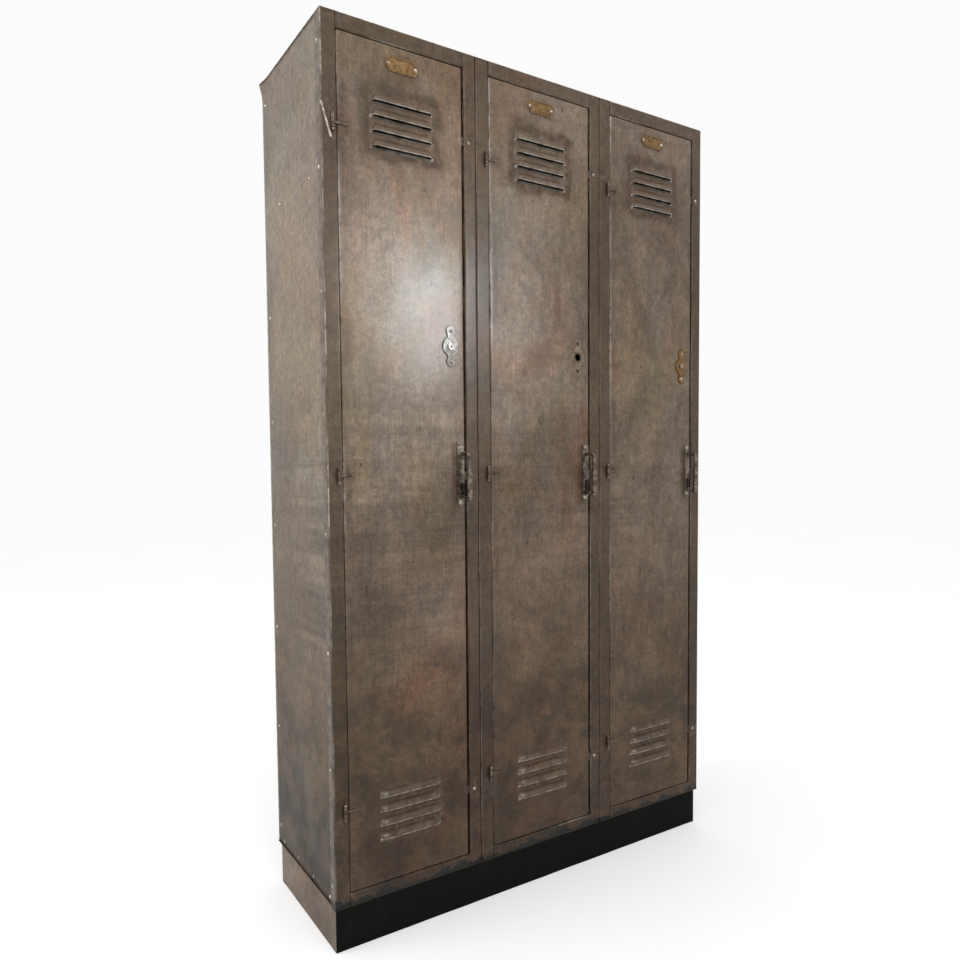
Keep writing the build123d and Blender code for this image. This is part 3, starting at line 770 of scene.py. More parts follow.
def finer(outline: Array, marks: Array, step: float) -> tuple[Array, Array]:
    """Divides an outline's long runs evenly and keeps all of its own points.

    Args:
        outline: Points, of shape (n, 2).
        marks: A value at each point.
        step: Longest run.

    Returns:
        The points and values of the finer outline.
    """
    along = np.concatenate([[0.0], np.cumsum(np.linalg.norm(np.diff(outline, axis=0), axis=1))])
    wanted = spaced(list(along), step)
    points = np.stack([np.interp(wanted, along, outline[:, axis]) for axis in (0, 1)], -1)
    return points, np.interp(wanted, along, marks)


def bent_line(corners: list[Pair], radii: list[float], steps: int = 6) -> tuple[Array, Array]:
    """Open outline of straight runs with each inner corner rounded by an arc.

    Each arc starts and ends at the radius times the tangent of half the turn from its corner,
    and swings evenly round its centre between the two.

    Args:
        corners: The outline's points.
        radii: Radius at each inner corner.
        steps: Steps in each arc.

    Returns:
        The points, of shape (n, 2), and 1 for those on an arc's middle, else 0.
    """
    places, bends = [np.array(corners[0])], [0.0]
    for before, corner, after, radius in zip(corners, corners[1:], corners[2:], radii):
        corner = np.array(corner)
        arriving = (corner - before) / np.linalg.norm(corner - before)
        leaving = (after - corner) / np.linalg.norm(after - corner)
        turn = math.acos(float(np.clip(arriving @ leaving, -1, 1)))
        back_off = radius * math.tan(turn / 2)
        side = np.sign(arriving[0] * leaving[1] - arriving[1] * leaving[0])
        normal = side * np.array([-arriving[1], arriving[0]])
        centre = corner - arriving * back_off + normal * radius
        angles = side * np.linspace(0, turn, steps + 1)
        cos, sin = np.cos(angles), np.sin(angles)
        spin = np.stack([cos, -sin, sin, cos], -1).reshape(-1, 2, 2)
        arc = centre + spin @ (-normal * radius)
        places += [corner - arriving * (back_off + 1.2 * MM), *arc, corner + leaving * (back_off + 1.2 * MM)]
        bends += [0.0, *np.sin(np.linspace(0, math.pi, steps + 1)), 0.0]
    return np.array([*places, corners[-1]]), np.array([*bends, 0.0])


# ------------------------------------------------------------------------------------- the doors
@dataclass(frozen=True)
class Opening:
    """A hole through a sheet's face: a round hole, or a slot when its power is higher."""

    across: float
    height: float
    half_width: float
    half_height: float
    power: float = 2.0
    margin: float = 3.0

    def lines(self) -> tuple[list[float], list[float]]:
        """Grid lines in mm round the hole, across and up."""
        grow_x, grow_z = self.half_width + self.margin, self.half_height + self.margin
        return [self.across - grow_x, self.across + grow_x], [self.height - grow_z, self.height + grow_z]


def cut(shell: Shell, points: Array, keep: Array, opening: Opening, left: float, face: Array) -> None:
    """Takes the cells off a hole's square and fills the square with a ring round the hole.

    The hole's edge is where a ray from its middle to a point of the square crosses the
    curve |x/w|^p + |z/h|^p = 1, and the ring runs evenly from there to the square.

    Args:
        shell: Shell that gets the ring.
        points: Grid of the sheet's points.
        keep: Which of its cells are there, changed in place.
        opening: The hole.
        left: X that the hole's place across is measured from.
        face: Which points lie on the sheet's face, not on its flanges.
    """
    middle = np.array([left + opening.across * MM, opening.height * MM])
    half = np.array([opening.half_width, opening.half_height]) * MM
    reach = half + (opening.margin + 0.05) * MM
    rows, columns = np.nonzero((np.abs(points[..., [0, 2]] - middle) <= reach).all(-1) & face)
    r0, r1, c0, c1 = rows.min(), rows.max(), columns.min(), columns.max()
    keep[r0:r1, c0:c1] = False
    loop = np.concatenate([points[r0, c0:c1], points[r0:r1, c1], points[r1, c1:c0:-1], points[r1:r0:-1, c0]])
    way = loop[:, [0, 2]] - middle
    share = (np.abs(way / half) ** opening.power).sum(-1, keepdims=True) ** (-1 / opening.power)
    edge = loop.copy()
    edge[:, [0, 2]] = middle + way * share
    steps = np.linspace(0, 1, 4)[:, None, None]
    shell.add(edge * (1 - steps) + loop * steps, wrap=True, flip=True, rust=0.8 - 0.3 * steps[..., 0])


@dataclass(frozen=True)
class Louvres:
    """Two groups of pressed hoods, each open along its lower edge."""

    across: float = 150.0
    half_width: float = 59.0
    end: float = 7.5
    out: float = 6.8
    rise: float = 12.6
    pitch: float = 25.4
    tops: tuple[float, float] = (1471.0, 257.0)
    count: int = 4

    def slots(self) -> list[float]:
        """Heights of the slots in mm."""
        return [top - self.pitch * i for top in self.tops for i in range(self.count)]

    def lift(self, x: Array, z: Array) -> Array:
        """Height of the hoods off the face, in mm: a quarter of a long ellipsoid above each slot.

        With t the height above the slot over the hood's rise, and s the distance into the
        rounded end over its length, the hood stands out by (1 - t^2 - s^2) to the power 0.62.

        Args:
            x: Place across the door in mm.
            z: Height in mm, a hair above a slot's own height for its upper lip.

        Returns:
            The height off the face.
        """
        s = np.maximum(np.abs(x - self.across) - (self.half_width - self.end), 0) / self.end
        total = np.zeros(np.broadcast(x, z).shape)
        for slot in self.slots():
            t = (z - slot) / self.rise
            inside = np.where(t > 0, 1 - t**2 - s**2, 0)
            total = np.maximum(total, self.out * np.clip(inside, 0, 1) ** 0.62)
        return total


@dataclass(frozen=True)
class LockPlace:
    """Where a lock sits on its door, and its plate: a disc with two ears on a neck, in mm."""

    across: float = 244.0
    height: float = 1066.0
    disc: float = 17.3
    ear: float = 9.4
    ear_out: float = 28.0
    half_neck: float = 7.0
    barrel: float = 7.3
    rivet: float = 2.3

    def off(self, x: Array, z: Array) -> Array:
        """Distance in mm from the plate's edge, less than 0 on the plate.

        Args:
            x: Place across the door.
            z: Height.

        Returns:
            The distance.
        """
        x, z = x - self.across, np.abs(z - self.height)
        disc, ear = np.hypot(x, z) - self.disc, np.hypot(x, z - self.ear_out) - self.ear
        return np.minimum.reduce([disc, ear, np.maximum(np.abs(x) - self.half_neck, z - self.ear_out)])

    def openings(self, missing: bool) -> tuple[Opening, ...]:
        """Holes through the door: the barrel's, and the rivets' where the lock is missing.

        Args:
            missing: Whether the lock is missing.

        Returns:
            The holes.
        """
        ears = (self.height - self.ear_out, self.height + self.ear_out) if missing else ()
        rivets = (Opening(self.across, z, self.rivet, self.rivet, margin=2.0) for z in ears)
        return (Opening(self.across, self.height, self.barrel, self.barrel), *rivets)


@dataclass(frozen=True)
class DarkPatch:
    """A dark patch on and round a rectangle of a door, in mm, used for stains and for a painted shadow."""

    across: Pair
    up: Pair
    reach: float
    share: float

    def at(self, x: Array, z: Array) -> Array:
        """The darkening at each point, which falls away as a bell curve."""
        return self.share * near(outside(x, z, self.across, self.up), self.reach)


@dataclass(frozen=True)
class DoorSkin:
    """One pressed door: a shallow pan with rounded edges, two groups of louvres and its holes.

    The dark patches are stains above the louvres, beside the top hinge and round the number plate,
    and a painted shadow left of the handle.
    """

    bank: Bank
    locker: int
    louvres: Louvres = Louvres()
    lock: LockPlace = LockPlace()
    slot: Opening = Opening(266.2, 800.15, 4.7, 14.9, 5.0, 1.6)
    left: float = 28.4
    right: float = 272.6
    gap: float = 1.5
    radius: float = 2.4
    flange: float = 13.0
    hinges: tuple[float, ...] = (1419.0, 832.0, 247.0)
    locked: tuple[int, ...] = (0, 2)
    cell: float = 6.0
    fine_across: tuple[float, float, float] = (222.0, 268.0, 2.0)
    fine_up: tuple[float, float, float] = (1026.0, 1107.0, 2.5)
    edge_wear: tuple[float, ...] = (0.75, 0.5, 0.9)
    stains_and_shadow: tuple[DarkPatch, ...] = (
        DarkPatch((92.0, 138.0), (1494.0, 1508.0), 13.0, 0.5),
        DarkPatch((30.0, 62.0), (1385.0, 1400.0), 14.0, 0.35),
        # Painted shadow of the handle's plate, on the door just left of it.
        DarkPatch((249.0, 260.0), (768.0, 884.0), 5.0, 0.75),
        DarkPatch((122.0, 180.0), (1530.0, 1552.0), 7.0, 0.45),
    )

    @property
    def missing(self) -> bool:
        """Whether the door's lock is missing."""
        return self.locker not in self.locked

    @property
    def openings(self) -> tuple[Opening, ...]:
        """The door's holes: the handle's slot, then the lock's."""
        return (self.slot, *self.lock.openings(self.missing))

    @property
    def span(self) -> Pair:
        """Heights of the opening's lower and upper edge in mm."""
        return self.bank.opening[0] / MM, self.bank.opening[1] / MM

    def edge_run(self, lines: Array, low: float, high: float, doubled: list[float]) -> tuple[Array, ...]:
        """Runs over one direction of the pan: flange, bend, face, bend, flange.

        Args:
            lines: Grid lines over the face.
            low: Outer plane of the low flange.
            high: Outer plane of the high flange.
            doubled: Lines that appear twice, the second a lifted copy.

        Returns:
            Centre line, turn, depth down the flange, and 1 for a lifted copy, at each line.
        """
        r, bend = self.radius, np.linspace(0, math.pi / 2, 6)
        deep = np.linspace(self.flange, 0, 5)[:-1]
        face = np.sort(np.concatenate([lines[1:-1], doubled]))
        lifted = np.concatenate([[False], np.abs(np.diff(face)) < 1e-6])
        centre = np.concatenate([np.full(len(deep) + 6, low + r), face, np.full(6 + len(deep), high - r)])
        square = np.full(len(deep), math.pi / 2)
        turn = np.concatenate([-square, -bend[::-1], 0 * face, bend, square])
        depth = np.concatenate([deep, np.zeros(12 + len(face)), deep[::-1]])
        return centre, turn, depth, np.concatenate([np.zeros(len(deep) + 6), lifted, np.zeros(6 + len(deep))])

    def grid_lines(self) -> tuple[Array, Array]:
        """Lines across and up the face, in mm, close together on the louvres and round the holes.

        Returns:
            The lines across and the lines up.
        """
        shape, r = self.louvres, self.radius
        low, high = self.span[0] + self.gap, self.span[1] - self.gap
        across, up = [self.left + r, self.right - r], [low + r, high - r]
        for end in (-1, 1):
            edge = shape.across + end * shape.half_width
            across += list(np.linspace(edge, edge - end * shape.end, 8))
        for slot in shape.slots():
            up += list(slot + shape.rise * np.sin(np.linspace(0, math.pi / 2, 9)))
        across += list(np.arange(*self.fine_across))
        up += list(np.arange(*self.fine_up))
        for opening in self.openings:
            more_across, more_up = opening.lines()
            across += more_across
            up += more_up
        return spaced(across, self.cell), spaced(up, self.cell)

    def rust(self, x: Array, z: Array, upper: Array, lower: Array, hinge: Array) -> Array:
        """Rust of the louvres, the edges, the hinges and the foot, and streaks down the hinge side.

        Args:
            x: Place across the door in mm.
            z: Height in mm.
            upper: Distance from the upper louvres.
            lower: Distance from the lower louvres.
            hinge: How near the hinges are, 0 to 1.

        Returns:
            The rust mark.
        """
        low, high = self.span
        rim = np.minimum.reduce([x - self.left, self.right - x, z - low, high - z])
        streaks = np.clip(Ripple(80 + self.locker, 0.5, 140.0).at(z, x), 0, 1)
        rust = 0.65 * near(upper - 8, 10.0) + 0.60 * near(lower, 11.0) + 0.18 * near(rim, 9.0) + 0.45 * hinge
        return rust + 0.25 * near(z - low, 120.0) + (0.15 + 0.75 * streaks) * near(x - self.left - 9, 9.0)

    def lips(self, x: Array, z: Array) -> Array:
        """Rubbed lips of all hoods, and a painted highlight along the crests of the lower ones, brightest at
        their left ends.

        Args:
            x: Place across the door in mm.
            z: Height in mm.

        Returns:
            The mark of the worn lips and of the painted crest highlight.
        """
        shape = self.louvres
        lip = sum(near(z - slot, 1.3) * (z > slot - 0.01) for slot in shape.slots())
        # Painted highlight along the crest of each lower hood, stronger at its left end.
        crest_highlight = sum(near(z - slot - 6.0, 2.6) for slot in shape.slots()[shape.count:])
        left_end = near(x - shape.across + shape.half_width - 4, 5.0)
        past = np.maximum(np.abs(x - shape.across) - shape.half_width, 0)
        return (lip + (0.10 + 0.45 * left_end) * crest_highlight) * near(past + 2 * (past > 0), 1.5)

    def wear_and_highlight(self, x: Array, z: Array, turned: Array, lips: Array) -> Array:
        """Wear of the bends, of the edge beside the hinges, of the lips and where a plate was, and the
        painted highlight on the lower hoods' crests.

        Args:
            x: Place across the door in mm.
            z: Height in mm.
            turned: How far the sheet is turned into an edge, 0 to 1.
            lips: Mark of the hoods' worn lips and of the painted crest highlight.

        Returns:
            The wear mark.
        """
        ragged = np.clip(0.55 + Ripple(60 + self.locker, 0.6, 210.0).at(z, x), 0.05, 1)
        edge = self.edge_wear[self.locker] * near(x - self.left - 0.6, 1.4)
        edge = edge * np.clip((z - 450.0) / 450.0, 0.1, 1)
        bare_plate = 0.16 * self.missing * (self.lock.off(x, z) < 0)
        return turned * ragged * 0.2 + edge * ragged + 0.8 * lips + bare_plate

    def stain_and_shade(self, x: Array, z: Array, upper: Array, lower: Array, hinge: Array) -> Array:
        """Brown film round the upper louvres, the lock and the hinges, the dark patches with their painted
        shadow left of the handle, darkening towards the foot, and painted shade over and round the lower
        hoods.

        Args:
            x: Place across the door in mm.
            z: Height in mm.
            upper: Distance from the upper louvres.
            lower: Distance from the lower louvres.
            hinge: How near the hinges are, 0 to 1.

        Returns:
            The stain mark, with its painted shade and shadow.
        """
        frayed = 9.0 + 6.0 * Ripple(85 + self.locker, 0.8, 46.0).at(x, z)
        halo = 0.35 * (upper <= 0) + 1.0 * near(upper - frayed, 9.0) * (upper > 0)
        ring = (0.45 if self.missing else 0.95) * near(self.lock.off(x, z) - 0.7, 1.4)
        # Darker towards the door's foot, and painted shade over and round the lower hoods.
        foot = near(z - self.span[0], 80.0) + 1.5 * near(lower - 4, 13.0)
        return halo + sum(dark_patch.at(x, z) for dark_patch in self.stains_and_shadow) + ring + 0.42 * foot + 0.3 * hinge

    def marks(self, x: Array, z: Array, turned: Array) -> dict[str, Array]:
        """Where the door rusts, where it is rubbed bright and painted with highlights, and where it is smoked
        dark and painted with shade and shadow.

        Each falls away as a bell curve from what causes it.

        Args:
            x: Place across the door in mm.
            z: Height in mm.
            turned: How far the sheet is turned into an edge, 0 to 1.

        Returns:
            The rust mark, the wear mark with its painted highlights, and the stain mark with its painted
            shade and shadow, 0 to 1.
        """
        shape = self.louvres
        run = shape.pitch * (shape.count - 1)
        wide = (shape.across - shape.half_width, shape.across + shape.half_width)
        upper, lower = (outside(x, z, wide, (top - run, top + shape.rise)) for top in shape.tops)
        hinge = sum(near(outside(x, z, (self.left, 46.0), (h - 4, h + 4)), 9.0) for h in self.hinges)
        lips = self.lips(x, z)
        marks = {"rust": self.rust(x, z, upper, lower, hinge) * (1 - lips),
                 "wear_and_highlight": self.wear_and_highlight(x, z, turned, lips),
                 "stain_and_shade": self.stain_and_shade(x, z, upper, lower, hinge)}
        return {name: np.clip(value, 0, 1) for name, value in marks.items()}

    def build(self) -> bpy.types.Object:
        """Presses the door: a rounded pan, lifted over the louvres, with its holes cut out.

        A point of the pan is its nearest place on the flat part plus the radius times a unit
        vector, which is (sin a, -cos a cos b, sin b) made one long for turns a and b.

        Returns:
            The door's piece.
        """
        lines_x, lines_z = self.grid_lines()
        low_z, high_z = self.span[0] + self.gap, self.span[1] - self.gap
        cx, a, fx, _ = self.edge_run(lines_x, self.left, self.right, [])
        cz, b, fz, up = self.edge_run(lines_z, low_z, high_z, self.louvres.slots())
        (cx, cz), (a, b), (fx, fz) = np.meshgrid(cx, cz), np.meshgrid(a, b), np.meshgrid(fx, fz)
        way = np.stack([np.sin(a), -np.cos(a) * np.cos(b), np.sin(b)], -1)
        way /= np.linalg.norm(way, axis=-1, keepdims=True)
        points = np.stack([cx, np.maximum(fx, fz), cz], -1)
        points += self.radius * (way + np.array([0, 1, 0]))
        lift = self.louvres.lift(points[..., 0], points[..., 2] + 1e-4 * up[:, None])
        flat = np.cos(a) * np.cos(b)
        rim = np.minimum.reduce([cx - self.left, self.right - cx, cz - low_z, high_z - cz])
        wave = Ripple(40 + self.locker, 0.34, 240.0).at(cx, cz)
        wave = wave + Ripple(50 + self.locker, 0.10, 75.0).at(cx, cz)
        points[..., 1] -= (lift + wave * (1 - near(rim, 26.0))) * flat
        marks = self.marks(points[..., 0], points[..., 2], 1 - np.abs(flat))

        both = (fx > 0) & (fz > 0)
        keep = ~(both[:-1, :-1] | both[1:, 1:] | both[1:, :-1] | both[:-1, 1:])
        lips = (up[1:, None] > 0) & ((lift[1:, 1:] > 0) | (lift[1:, :-1] > 0))
        keep &= ~lips
        left = self.bank.at(self.locker, 0)
        points[..., 0] = left + points[..., 0] * MM
        points[..., 1] = self.bank.front + points[..., 1] * MM
        points[..., 2] *= MM
        shell, face = Shell(), points[..., 1] < self.bank.front + MM
        for opening in self.openings:
            cut(shell, points, keep, opening, left, face)
        shell.add(points, keep, **marks)
        number = self.locker + 1
        return shell.piece(f"door_skin_{number}", Finishes.door, f"door_{number}", "door_steel",
                           (f"door_panel_{number}",), SHEET)


# --------------------------------------------------------------------------------- number plates
@dataclass
class NumberPlate:
    """Small brass plate with blunt pointed ends, a raised rim and raised figures."""

    bank: Bank
    locker: int
    first_number: int = 101
    across: float = 151.0
    height: float = 1541.0
    half: Pair = (33.0, 12.6)
    shoulder: float = 24.5
    tip: float = 2.5
    corner: float = 1.5
    thick: float = 1.3
    rim: Pair = (1.6, 0.5)
    figure_size: float = 15.0
    figure_depth: float = 0.25
    figure_ease: float = 0.18

    def outline(self) -> Array:
        """Points round the plate in mm, anticlockwise seen from the front, with rounded corners."""
        w, h = self.half
        corners = [(w, -self.tip), (w, self.tip), (self.shoulder, h), (-self.shoulder, h),
                   (-w, self.tip), (-w, -self.tip), (-self.shoulder, -h), (self.shoulder, -h)]
        loop = [(x * MM, z * MM) for x, z in [*corners, *corners[:2]]]
        return bent_line(loop, [self.corner * MM] * len(corners))[0][1:-1] / MM

    def figures(self, shell: Shell) -> None:
        """Adds the locker's number to the plate, as raised figures with eased edges.

        Args:
            shell: Shell that gets them, in mm about the plate's middle.
        """
        curve = bpy.data.curves.new("figures", "FONT")
        curve.body = str(self.first_number + self.locker)
        curve.align_x, curve.align_y = "CENTER", "CENTER"
        curve.size, curve.extrude, curve.bevel_depth = self.figure_size, self.figure_depth, self.figure_ease
        text = bpy.data.objects.new("figures", curve)
        mesh = bpy.data.meshes.new_from_object(text)
        mesh.calc_loop_triangles()
        flat = np.empty(3 * len(mesh.vertices))
        mesh.vertices.foreach_get("co", flat)
        corners = np.empty(3 * len(mesh.loop_triangles), dtype=np.int64)
        mesh.loop_triangles.foreach_get("vertices", corners)
        x, up, out = flat.reshape(-1, 3).T
        shell.add_triangles(np.stack([x, -out - self.thick, up], -1), corners.reshape(-1, 3), 0.5)
        bpy.data.objects.remove(text)

    def build(self) -> None:
        """Builds the plate as rings: its outline drawn in by an inset, at the height of each ring.

        A ring's point is the outline's point with each side shortened by the inset's share of
        the plate's half width and half height, so the last ring closes along the middle line.
        """
        (w, h), (rim, raised) = self.half, self.rim
        top = self.thick + raised
        rings = [(h, 0.0), (0.3, 0.0), (0.0, 0.3), (0.0, top - 0.4), (0.12, top - 0.1), (0.4, top),
                 (rim - 0.4, top), (rim - 0.1, top - 0.15), (rim + 0.2, self.thick), (4.0, self.thick),
                 (8.0, self.thick), (h, self.thick)]
        inset, out = np.array(rings).T[:, :, None]
        x, z = self.outline().T
        points = np.stack([x * (1 - inset / w), -out + 0 * x, z * (1 - inset / h)], -1)
        wear_and_highlight = 0.7 * near(inset - 0.5 * rim, 0.8) * (out > self.thick)
        rust = 0.8 * near(inset - rim - 0.3, 0.9) * (out > 0)
        shell = Shell()
        shell.add(points, rust=rust, wear_and_highlight=wear_and_highlight, wrap=True)
        self.figures(shell)
        middle = np.array([self.bank.at(self.locker, self.across), self.bank.front, self.height * MM])
        shell.points = [middle + part * MM for part in shell.points]
        name = f"number_plate_{self.locker + 1}"
        shell.piece(f"brass_{name}", Finishes.brass, f"door_{self.locker + 1}", "brass", (name,))


# ------------------------------------------------------------------------------ cabinet's sheets
@dataclass
class Cabinet:
    """Door frames, end sheets, lid and base of the bank."""

    bank: Bank
    hinge_face: float = 27.5
    latch_face: float = 27.3
    jamb_return: float = 22.0
    stop_back: float = 18.0
    stop_lap: float = 10.0
    radius: float = 2.6
    seam: float = 1.0
    lap: float = 2.2
    catches: tuple[float, ...] = (1440.5, 828.0, 226.0)
    rivet_across: float = 288.0
    window: Pair = (1.4, 4.7)
    half_window: float = 8.6
    crease_ends: tuple[Pair, Pair] = ((1.0, 1448.0), (17.0, 1396.0))
    crease_rows: tuple[float, float, float] = (1380, 1466, 1.2)
    dents: tuple[Pair, ...] = ((0.09, 0.47), (-0.02, 1.13), (0.05, 0.80))
    anchor: Opening = Opening(152.4, 1500.0, 4.5, 4.5)
    anchored: tuple[int, ...] = (0, 2)

    def stations(self, low: float, high: float, marks: list[float] | None = None) -> Array:
        """Lines along a long strip, with extra ones at the given places."""
        return spaced([low, high, *(marks or [])], 12 * MM)

    def edges(self, locker: int) -> tuple[float, float, float, float]:
        """Outer and inner edges of a locker's two jambs, from left to right."""
        first, last = locker == 0, locker == self.bank.lockers - 1
        outer_left = self.bank.left if first else self.bank.at(locker, -self.seam)
        outer_right = self.bank.right if last else self.bank.at(locker + 1, -self.lap)
        inner_left = self.bank.at(locker, self.hinge_face)
        inner_right = self.bank.at(locker, self.bank.pitch / MM - self.latch_face)
        return outer_left, inner_left, inner_right, outer_right

    def jamb_line(self, locker: int, side: Side) -> tuple[list[Pair], list[float]]:
        """Outline of one jamb in plan, from its outer flange or stop to the other.

        Args:
            locker: Which locker.
            side: LEFT for the hinge jamb, RIGHT for the latch jamb.

        Returns:
            The corners, and the radius at each inner one.
        """
        outer_left, inner_left, inner_right, outer_right = self.edges(locker)
        f, deep, bend = self.bank.front, self.bank.front + self.stop_back * MM, self.radius * MM
        end, lap = f + self.jamb_return * MM, self.stop_lap * MM
        if side is Side.LEFT:
            corners = [(outer_left, end), (outer_left, f), (inner_left, f), (inner_left, deep),
                       (inner_left + lap, deep)]
            return corners, [bend, bend, MM]
        corners = [(inner_right - lap, deep), (inner_right, deep), (inner_right, f + 4.6 * MM),
                   (inner_right, f), (outer_right, f), (outer_right, end)]
        return corners, [MM, 0.0, bend, bend]

    def jamb_marks(self, locker: int, x: Array, y: Array, z: Array, bends: Array) -> tuple[Array, ...]:
        """Rust at the foot, top and catches, wear of the bends, painted light on the outer return that faces
        the end, and film round the rivets.

        Args:
            locker: Which locker.
            x: Place along the bank.
            y: Depth.
            z: Height.
            bends: 1 on the middle of a bend, else 0.

        Returns:
            The rust mark, the wear mark with its painted light, and the stain mark.
        """
        b = self.bank
        rust = 0.20 + 0.35 * near(z - b.floor, 0.10) + 0.4 * near(z - b.top, 0.03)
        rust += sum(0.55 * near(z - h * MM, 0.022) for h in self.catches)
        outer = np.abs(x - self.edges(locker)[0]) < 4 * MM
        ragged = np.clip(0.35 + Ripple(locker + 3, 0.5, 0.25).at(z, 0 * z), 0.02, 1)
        wear_and_highlight = np.broadcast_to(bends, x.shape) * ragged * np.where(outer & (locker == 0), 0.75, 0.22)
        # Painted light: the outer return, which faces the end of the bank, is made paler through the wear
        # mark.
        wear_and_highlight = wear_and_highlight + 0.16 * (y > b.front + 4 * MM) * outer
        away = [np.hypot(x - b.at(locker, self.rivet_across), z - h * MM) for h in self.catches]
        stain_and_shade = 0.4 * near(z - b.floor, 0.05) + 0.35 * near(z - b.top, 0.05)
        return rust, wear_and_highlight, stain_and_shade + sum(0.9 * near(np.abs(d - 4.5 * MM), 2 * MM) for d in away)

    def jamb(self, locker: int, side: Side) -> None:
        """Rolls one jamb: its bent outline in plan, carried up the opening with a slight waver.

        Args:
            locker: Which locker.
            side: LEFT for the hinge jamb, RIGHT for the latch jamb.
        """
        f, latched = self.bank.front, side is Side.RIGHT
        creased = locker == 0 and not latched
        outline, bends = finer(*bent_line(*self.jamb_line(locker, side)), (1.2 if creased else 4) * MM)
        breaks = [(z + way * self.half_window) * MM for z in self.catches for way in (-1, 1) if latched]
        breaks += list(np.arange(*self.crease_rows) * MM) if creased else []
        up = self.stations(self.bank.floor + SHEET, self.bank.top - SHEET, breaks)
        waver = Ripple(70 + 2 * locker + side.value, 0.22 * MM, 0.30)
        x, z = np.meshgrid(outline[:, 0], up)
        y = np.broadcast_to(outline[:, 1], x.shape).copy()
        face = np.clip(1 - (y - f) / (4 * MM), 0, 1)
        y += np.abs(waver.at(z, x)) * face
        rust, wear_and_highlight, stain_and_shade = self.jamb_marks(locker, x, y, z, bends)
        if creased:
            fold = self.crease(x, z)
            y += 1.6 * MM * near(fold, 7 * MM) * face
            # Painted highlight: a bright line along one side of the fold, laid in through the wear mark.
            wear_and_highlight = np.clip(wear_and_highlight, 0, 1) + 2.4 * near(fold - 0.4 * MM, 0.9 * MM) * face
        keep = self.windowed(outline, up, self.edges(locker)[2]) if latched else None
        rust = np.clip(rust, 0, 1) * (1 - 0.7 * np.minimum(wear_and_highlight, 1))
        shell = Shell()
        shell.add(np.stack([x, y, z], -1), keep, rust, wear_and_highlight, np.clip(stain_and_shade, 0, 1))
        node = f"{'latch_jamb' if latched else 'hinge_jamb'}_{locker + 1}"
        shell.piece(f"rolled_{node}", Finishes.frame, "cabinet", "frame_steel", (node,), FRAME_SHEET)

    def crease(self, x: Array, z: Array) -> Array:
        """Distance of points from the fold that a knock left on the bank's front left corner.

        Args:
            x: Place along the bank.
            z: Height.

        Returns:
            Distance from the line that runs down from the corner to the top hinge.
        """
        start, end = (np.array([self.bank.left, 0]) + np.array(place) * MM for place in self.crease_ends)
        run = end - start
        share = np.clip(((x - start[0]) * run[0] + (z - start[1]) * run[1]) / (run @ run), 0, 1)
        return np.hypot(x - start[0] - share * run[0], z - start[1] - share * run[1])

    def windowed(self, outline: Array, up: Array, inner: float) -> Array:
        """Cells that stay when the catches' windows are cut in the jamb's inner return.

        Args:
            outline: The jamb's outline in plan.
            up: Heights of the grid's rows.
            inner: X of the inner return.

        Returns:
            True for each cell that stays.
        """
        middle_x, middle_y = (outline[1:] + outline[:-1]).T / 2
        near_y, far_y = (self.bank.front + y * MM for y in self.window)
        strip = (np.abs(middle_x - inner) < 2 * MM) & (middle_y > near_y) & (middle_y < far_y)
        middle_z = (up[1:] + up[:-1]) / 2
        off = np.abs(middle_z[:, None] - np.array(self.catches) * MM).min(axis=1)
        level = off < self.half_window * MM
        return ~(level[:, None] & strip[None, :])

    def rail(self, locker: int, name: str, outer: float, inner: float) -> None:
        """Rolls one rail: its bent outline seen from the side, carried between the jambs.

        Args:
            locker: Which locker.
            name: The CAD node's name, without its number.
            outer: Height of the edge at the lid or the floor sheet.
            inner: Height of the edge at the opening.
        """
        f, deep = self.bank.front, self.bank.front + 16.5 * MM
        way = 1 if inner > outer else -1
        corners = [(f + self.stop_back * MM, outer), (f, outer), (f, inner), (deep, inner),
                   (deep, inner + way * self.stop_lap * MM)]
        corners = corners if way > 0 else corners[::-1]
        radii = [0.8 * MM, self.radius * MM, MM]
        outline, bends = bent_line(corners, radii if way > 0 else radii[::-1])
        _, start, end, _ = self.edges(locker)
        x, y = np.meshgrid(self.stations(start, end), outline[:, 0])
        z = np.broadcast_to(outline[:, 1:], x.shape)
        face = np.clip(1 - (y - f) / (4 * MM), 0, 1)
        y = y + np.abs(Ripple(90 + locker + way, 0.2 * MM, 0.22).at(x, 0 * x)) * face
        rust = 0.30 + 0.5 * near(np.minimum(x - start, end - x), 0.012)
        ragged = np.clip(Ripple(12 + locker + way, 0.3, 0.16).at(x, 0 * x), 0, 0.35)
        wear_and_highlight = np.broadcast_to(bends[:, None], x.shape) * ragged
        shell = Shell()
        shell.add(np.stack([x, y, z], -1), None, rust * (1 - 0.7 * wear_and_highlight), wear_and_highlight)
        node = f"{name}_{locker + 1}"
        shell.piece(f"rolled_{node}", Finishes.frame, "cabinet", "frame_steel", (node,), FRAME_SHEET)

    def knock(self, points: Array) -> Array:
        """Pushes the rear left top corner out and down, as if it was knocked when moved.

        The push is 5 mm at the corner and falls away as a bell curve over 17 mm.

        Args:
            points: Points, of shape (..., 3).

        Returns:
            The pushed points.
        """
        corner = np.array([self.bank.left, self.bank.back, self.bank.top])
        share = near(np.linalg.norm(points - corner, axis=-1, keepdims=True), 17 * MM)
        return points + share * np.array([-5.0, 2.0, -2.0]) * MM

